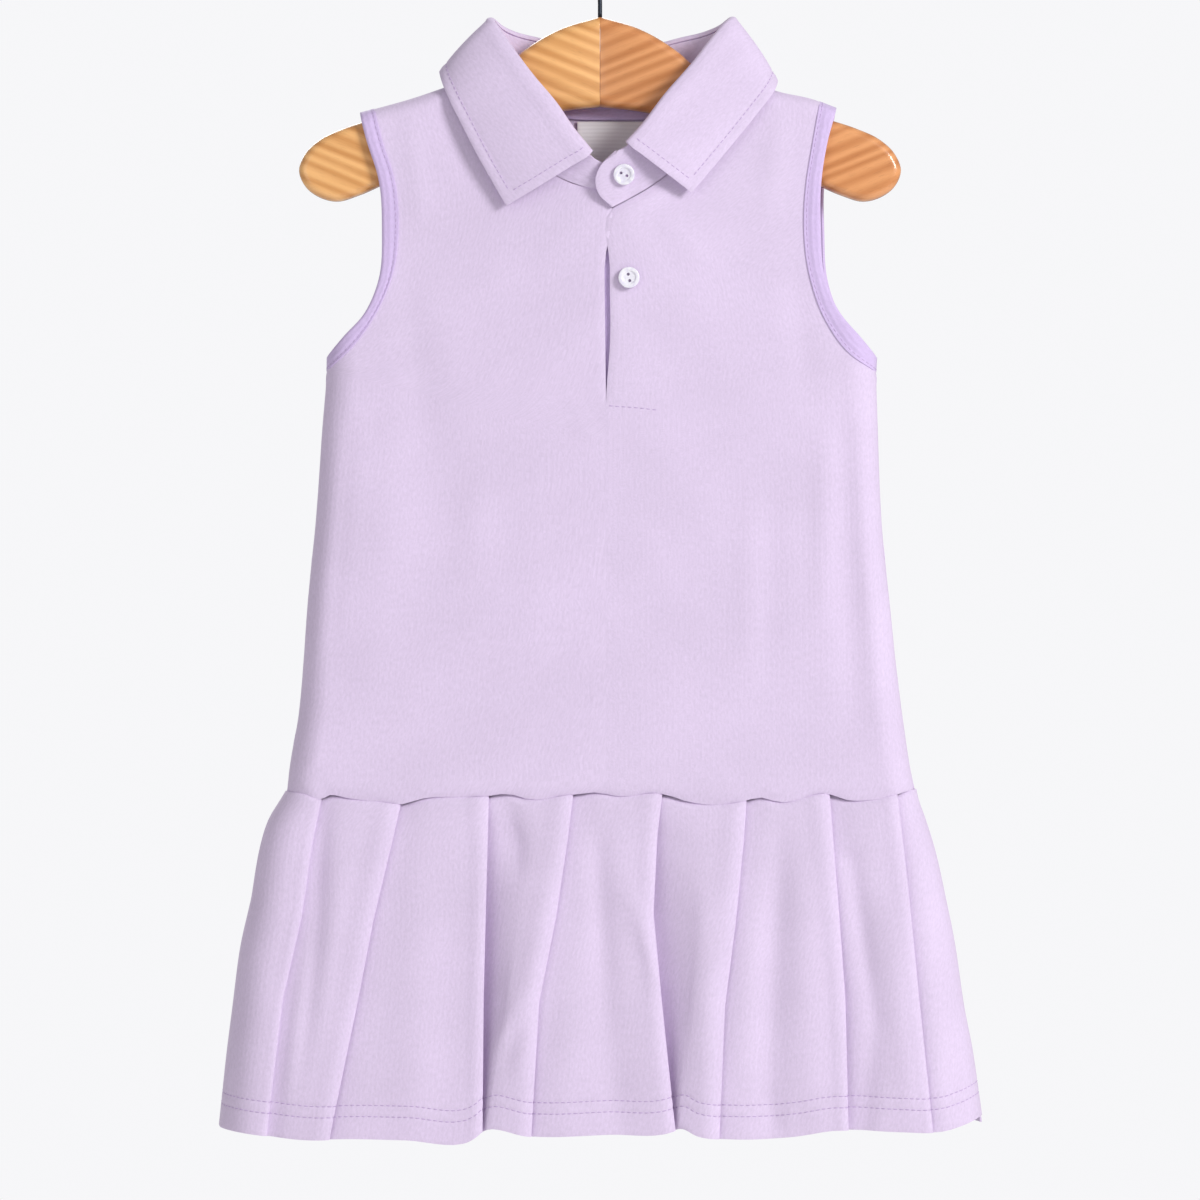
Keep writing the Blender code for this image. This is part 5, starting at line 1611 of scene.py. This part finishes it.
class DRESS_OT_hanger(bpy.types.Operator):
    """Flat wooden hanger of two glued halves and its wire hook"""

    bl_idname = "dress.hanger"
    bl_label = "Build the hanger"

    def execute(self, context):
        """Round the outline's edges, part the halves at the joint and bend the hook."""
        sizes, colours = settings(context)
        half = fine_table(HANGER_OUTLINE, 6)
        outline = [tuple(p) for p in half] + [(-x, z) for x, z in half[-2:0:-1]]
        curve = bpy.data.curves.new("hanger_outline", "CURVE")
        curve.dimensions = "2D"
        curve.fill_mode = "BOTH"
        curve.extrude = sizes.hanger_thickness / 2 - HANGER_EDGE * MM
        curve.bevel_depth = HANGER_EDGE * MM
        curve.bevel_resolution = 6
        curve.offset = -HANGER_EDGE * MM
        path = curve.splines.new("POLY")
        path.points.add(len(outline) - 1)
        for point, (x, z) in zip(path.points, outline):
            point.co = (x * MM, z * MM, 0.0, 1.0)
        path.use_cyclic_u = True
        wood = bpy.data.objects.new("hanger_left", curve)
        context.scene.collection.objects.link(wood)
        wood.rotation_euler = (math.radians(90), 0.0, 0.0)
        select_only(wood)
        bpy.ops.object.convert(target="MESH")
        bpy.ops.object.transform_apply(location=True, rotation=True, scale=True)
        bpy.ops.object.mode_set(mode="EDIT")
        bpy.ops.mesh.select_all(action="SELECT")
        bpy.ops.mesh.remove_doubles(threshold=HARD_WELD * MM)
        bpy.ops.mesh.normals_make_consistent(inside=False)
        bpy.ops.object.mode_set(mode="OBJECT")
        bpy.ops.object.duplicate()
        other = context.view_layer.objects.active
        other.name = "hanger_right"
        for piece, side, colour, turn, seed in (
                (wood, -1, colours.light_wood, -GRAIN_TURN, GRAIN_SHIFTS[0]),
                (other, 1, colours.dark_wood, GRAIN_TURN, GRAIN_SHIFTS[1])):
            select_only(piece)
            bpy.ops.object.mode_set(mode="EDIT")
            bpy.ops.mesh.select_all(action="SELECT")
            bpy.ops.mesh.bisect(plane_co=(side * JOINT_HALF_GAP * MM, 0, 0), plane_no=(-side, 0, 0),
                                use_fill=True, clear_outer=True)
            bpy.ops.object.mode_set(mode="OBJECT")
            apply_modifier(piece, "BEVEL", width=JOINT_ROUND * MM, segments=2, limit_method="ANGLE",
                           angle_limit=math.radians(EDGE_ANGLE))
            piece.data.materials.clear()
            piece.data.materials.append(varnished_wood(piece.name + "_wood", colour, turn, seed))
            select_only(piece)
            bpy.ops.object.shade_smooth_by_angle(angle=math.radians(WOOD_SMOOTH_ANGLE))
            declare(piece, "varnished_wood", "hanger")

        wire = bpy.data.curves.new("hook_wire", "CURVE")
        wire.dimensions = "3D"
        wire.bevel_depth = sizes.wire_radius
        wire.bevel_resolution = 4
        wire.use_fill_caps = True
        centre_radius = CROWN_RADIUS + sizes.wire_radius / MM
        points = []
        for angle in np.linspace(HOOK_TIP_ANGLE, HOOK_TURN_ANGLE, HOOK_STEPS):
            turn = math.radians(angle)
            points.append((centre_radius * math.cos(turn),
                           -CROWN_RADIUS + centre_radius * math.sin(turn)))
        points += HOOK_STEM
        points.append((0.0, HOOK_FOOT_Z - 1.0))
        path = wire.splines.new("POLY")
        fine = fine_table(points, 3)
        path.points.add(len(fine) - 1)
        for point, (x, z) in zip(path.points, fine):
            point.co = (x * MM, 0.0, z * MM, 1.0)
        hook = bpy.data.objects.new("hook_bent_wire", wire)
        context.scene.collection.objects.link(hook)
        select_only(hook)
        bpy.ops.object.convert(target="MESH")
        bpy.ops.object.mode_set(mode="EDIT")
        bpy.ops.mesh.select_all(action="SELECT")
        bpy.ops.mesh.remove_doubles(threshold=HARD_WELD * MM)
        bpy.ops.object.mode_set(mode="OBJECT")
        hook.data.materials.clear()
        hook.data.materials.append(plated_wire(colours))
        hook.data.shade_smooth()
        declare(hook, "black_wire", "hook")
        return {"FINISHED"}


def drilled_button(sizes):
    """A two-hole button lying in the XY plane, its back at height 0, its face up."""
    radius = sizes.button_radius
    height = sizes.button_thickness
    bpy.ops.object.select_all(action="DESELECT")
    bpy.ops.mesh.primitive_cylinder_add(vertices=BUTTON_FACETS, radius=radius, depth=height,
                                        location=(0, 0, height / 2))
    button = bpy.context.object
    bpy.ops.object.transform_apply(location=True)
    bpy.ops.object.mode_set(mode="EDIT")
    bpy.ops.mesh.select_all(action="DESELECT")
    bpy.ops.object.mode_set(mode="OBJECT")
    for face in button.data.polygons:
        face.select = face.normal.z > FACING_UP
    bpy.ops.object.mode_set(mode="EDIT")
    bpy.ops.mesh.inset(thickness=radius * BUTTON_RIM)
    bpy.ops.mesh.inset(thickness=radius * BUTTON_SLOPE)
    bpy.ops.transform.translate(value=(0, 0, -BUTTON_RECESS * MM))
    bpy.ops.object.mode_set(mode="OBJECT")
    apply_modifier(button, "BEVEL", width=BUTTON_EDGE * MM, segments=4, limit_method="ANGLE",
                   angle_limit=math.radians(BUTTON_EDGE_ANGLE))
    for side in (-1, 1):
        bpy.ops.object.select_all(action="DESELECT")
        bpy.ops.mesh.primitive_cylinder_add(vertices=HOLE_FACETS, radius=BUTTON_HOLE_RADIUS * MM,
                                            depth=4 * height,
                                            location=(side * BUTTON_HOLE_OFFSET * MM, 0, 0))
        drill = bpy.context.object
        apply_modifier(button, "BOOLEAN", object=drill, operation="DIFFERENCE")
        bpy.data.objects.remove(drill)
    return button


class DRESS_OT_buttons(bpy.types.Operator):
    """Two pearl buttons, each with two drilled holes"""

    bl_idname = "dress.buttons"
    bl_label = "Build the buttons"

    def execute(self, context):
        """Model one button, copy it, and set each on the cloth under it."""
        sizes, colours = settings(context)
        pattern = drilled_button(sizes)
        pearl = pearl_polyester(colours)
        for name, x, z, turn, tilt in BUTTONS:
            cloth = bpy.data.objects["collar_stand_cloth" if name == "button_top"
                                     else "front_body_cloth"]
            node_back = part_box(name)[1][1]
            cloth_face = front_spot(cloth, x, z)[0][1] * MM
            button = pattern.copy()
            button.data = pattern.data.copy()
            button.name = name + "_pearl"
            context.scene.collection.objects.link(button)
            face = Matrix.Rotation(math.radians(90 + tilt), 4, "X")
            spin = Matrix.Rotation(math.radians(-turn), 4, "Z")
            back = Vector((x * MM, min(node_back, cloth_face), z * MM))
            button.data.transform(Matrix.Translation(back) @ face @ spin)
            button.data.materials.clear()
            button.data.materials.append(pearl)
            select_only(button)
            bpy.ops.object.shade_smooth_by_angle(angle=math.radians(BUTTON_SMOOTH_ANGLE))
            declare(button, "pearl_button", name)
        bpy.data.objects.remove(pattern)
        return {"FINISHED"}


class DRESS_OT_stage(bpy.types.Operator):
    """Pale floor, soft studio light and the camera straight in front"""

    bl_idname = "dress.stage"
    bl_label = "Set the stage"

    def execute(self, context):
        """Make the floor, the lights, the world and the camera."""
        colours = settings(context)[1]
        scene = context.scene
        bpy.ops.object.select_all(action="DESELECT")
        bpy.ops.mesh.primitive_circle_add(vertices=64, radius=FLOOR_RADIUS, fill_type="NGON",
                                          location=(0, 0, FLOOR_Z))
        floor = context.object
        floor.name = "studio_floor"
        material, tree, shader = new_material("pale_matt_paper", 0.9)
        where = add_node(tree, "ShaderNodeTexCoord").outputs["Object"]
        noise = add_node(tree, "ShaderNodeTexNoise", {"Vector": where, "Scale": 3.0})
        tone = add_node(tree, "ShaderNodeMix", {0: noise.outputs["Fac"], 6: shade(colours.floor, 0.99),
                                                7: shade(colours.floor, 1.0)}, data_type="RGBA")
        tree.links.new(tone.outputs[2], shader.inputs["Base Color"])
        floor.data.materials.append(material)
        world = bpy.data.worlds.new("studio")
        scene.world = world
        world.use_nodes = True
        tree = world.node_tree
        sky = tree.nodes["Background"]
        sky.inputs["Color"].default_value = linear_colour("FAFAFC")
        seen = add_node(tree, "ShaderNodeLightPath").outputs["Is Camera Ray"]
        strength = add_node(tree, "ShaderNodeMapRange", {"Value": seen, "To Min": WORLD_STRENGTH,
                                                         "To Max": BACKDROP_STRENGTH})
        tree.links.new(strength.outputs[0], sky.inputs["Strength"])
        scene.view_settings.view_transform = "Standard"
        for name, place, size, power in LIGHTS:
            light = bpy.data.lights.new(name, "AREA")
            light.shape = "RECTANGLE"
            light.size, light.size_y = size
            light.energy = power
            lamp = bpy.data.objects.new(name, light)
            lamp.location = place
            aim = Vector((0, 0, CAMERA_CENTRE_Z * MM)) - Vector(place)
            lamp.rotation_euler = aim.to_track_quat("-Z", "Y").to_euler()
            scene.collection.objects.link(lamp)
        camera = bpy.data.cameras.new("front_camera")
        camera.sensor_width = 36.0
        camera.lens = camera.sensor_width * CAMERA_DISTANCE / (PICTURE_WIDTH * MM)
        camera.clip_end = 100.0
        eye = bpy.data.objects.new("front_camera", camera)
        eye.location = (0.0, PICTURE_PLANE_Y * MM - CAMERA_DISTANCE, CAMERA_CENTRE_Z * MM)
        eye.rotation_euler = (math.radians(90), 0.0, 0.0)
        scene.collection.objects.link(eye)
        scene.camera = eye
        return {"FINISHED"}


class DRESS_PT_panel(bpy.types.Panel):
    """Sizes, colours and build steps of the dress"""

    bl_idname = "DRESS_PT_panel"
    bl_label = "Tennis dress"
    bl_space_type = "VIEW_3D"
    bl_region_type = "UI"
    bl_category = "Dress"

    def draw(self, context):
        """List the properties and the operators."""
        for group in settings(context):
            box = self.layout.box()
            for name in group.bl_rna.properties.keys():
                if name not in ("rna_type", "name"):
                    box.prop(group, name)
        for step in STEPS:
            self.layout.operator(step.bl_idname)


STEPS = (DRESS_OT_hanger, DRESS_OT_body, DRESS_OT_bindings, DRESS_OT_collar, DRESS_OT_neck_trim,
         DRESS_OT_skirt, DRESS_OT_buttons, DRESS_OT_stage)
CLASSES = (DressSizes, DressColours, DRESS_PT_panel) + STEPS


def register():
    """Register the classes and hang the sizes and colours on the scene."""
    for item in CLASSES:
        bpy.utils.register_class(item)
    bpy.types.Scene.dress_sizes = PointerProperty(type=DressSizes)
    bpy.types.Scene.dress_colours = PointerProperty(type=DressColours)


def unregister():
    """Take the classes and properties away again."""
    del bpy.types.Scene.dress_colours
    del bpy.types.Scene.dress_sizes
    for item in reversed(CLASSES):
        bpy.utils.unregister_class(item)


def corners(box):
    """A box's two corners as plain lists."""
    return [[float(c) for c in corner] for corner in box]


def main():
    """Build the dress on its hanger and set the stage."""
    register()
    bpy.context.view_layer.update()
    bpy.ops.dress.hanger()
    bpy.ops.dress.body()
    bpy.ops.dress.bindings()
    bpy.ops.dress.collar()
    bpy.ops.dress.neck_trim()
    bpy.ops.dress.skirt()
    bpy.ops.dress.buttons()
    bpy.ops.dress.stage()


if __name__ == "__main__":
    main()
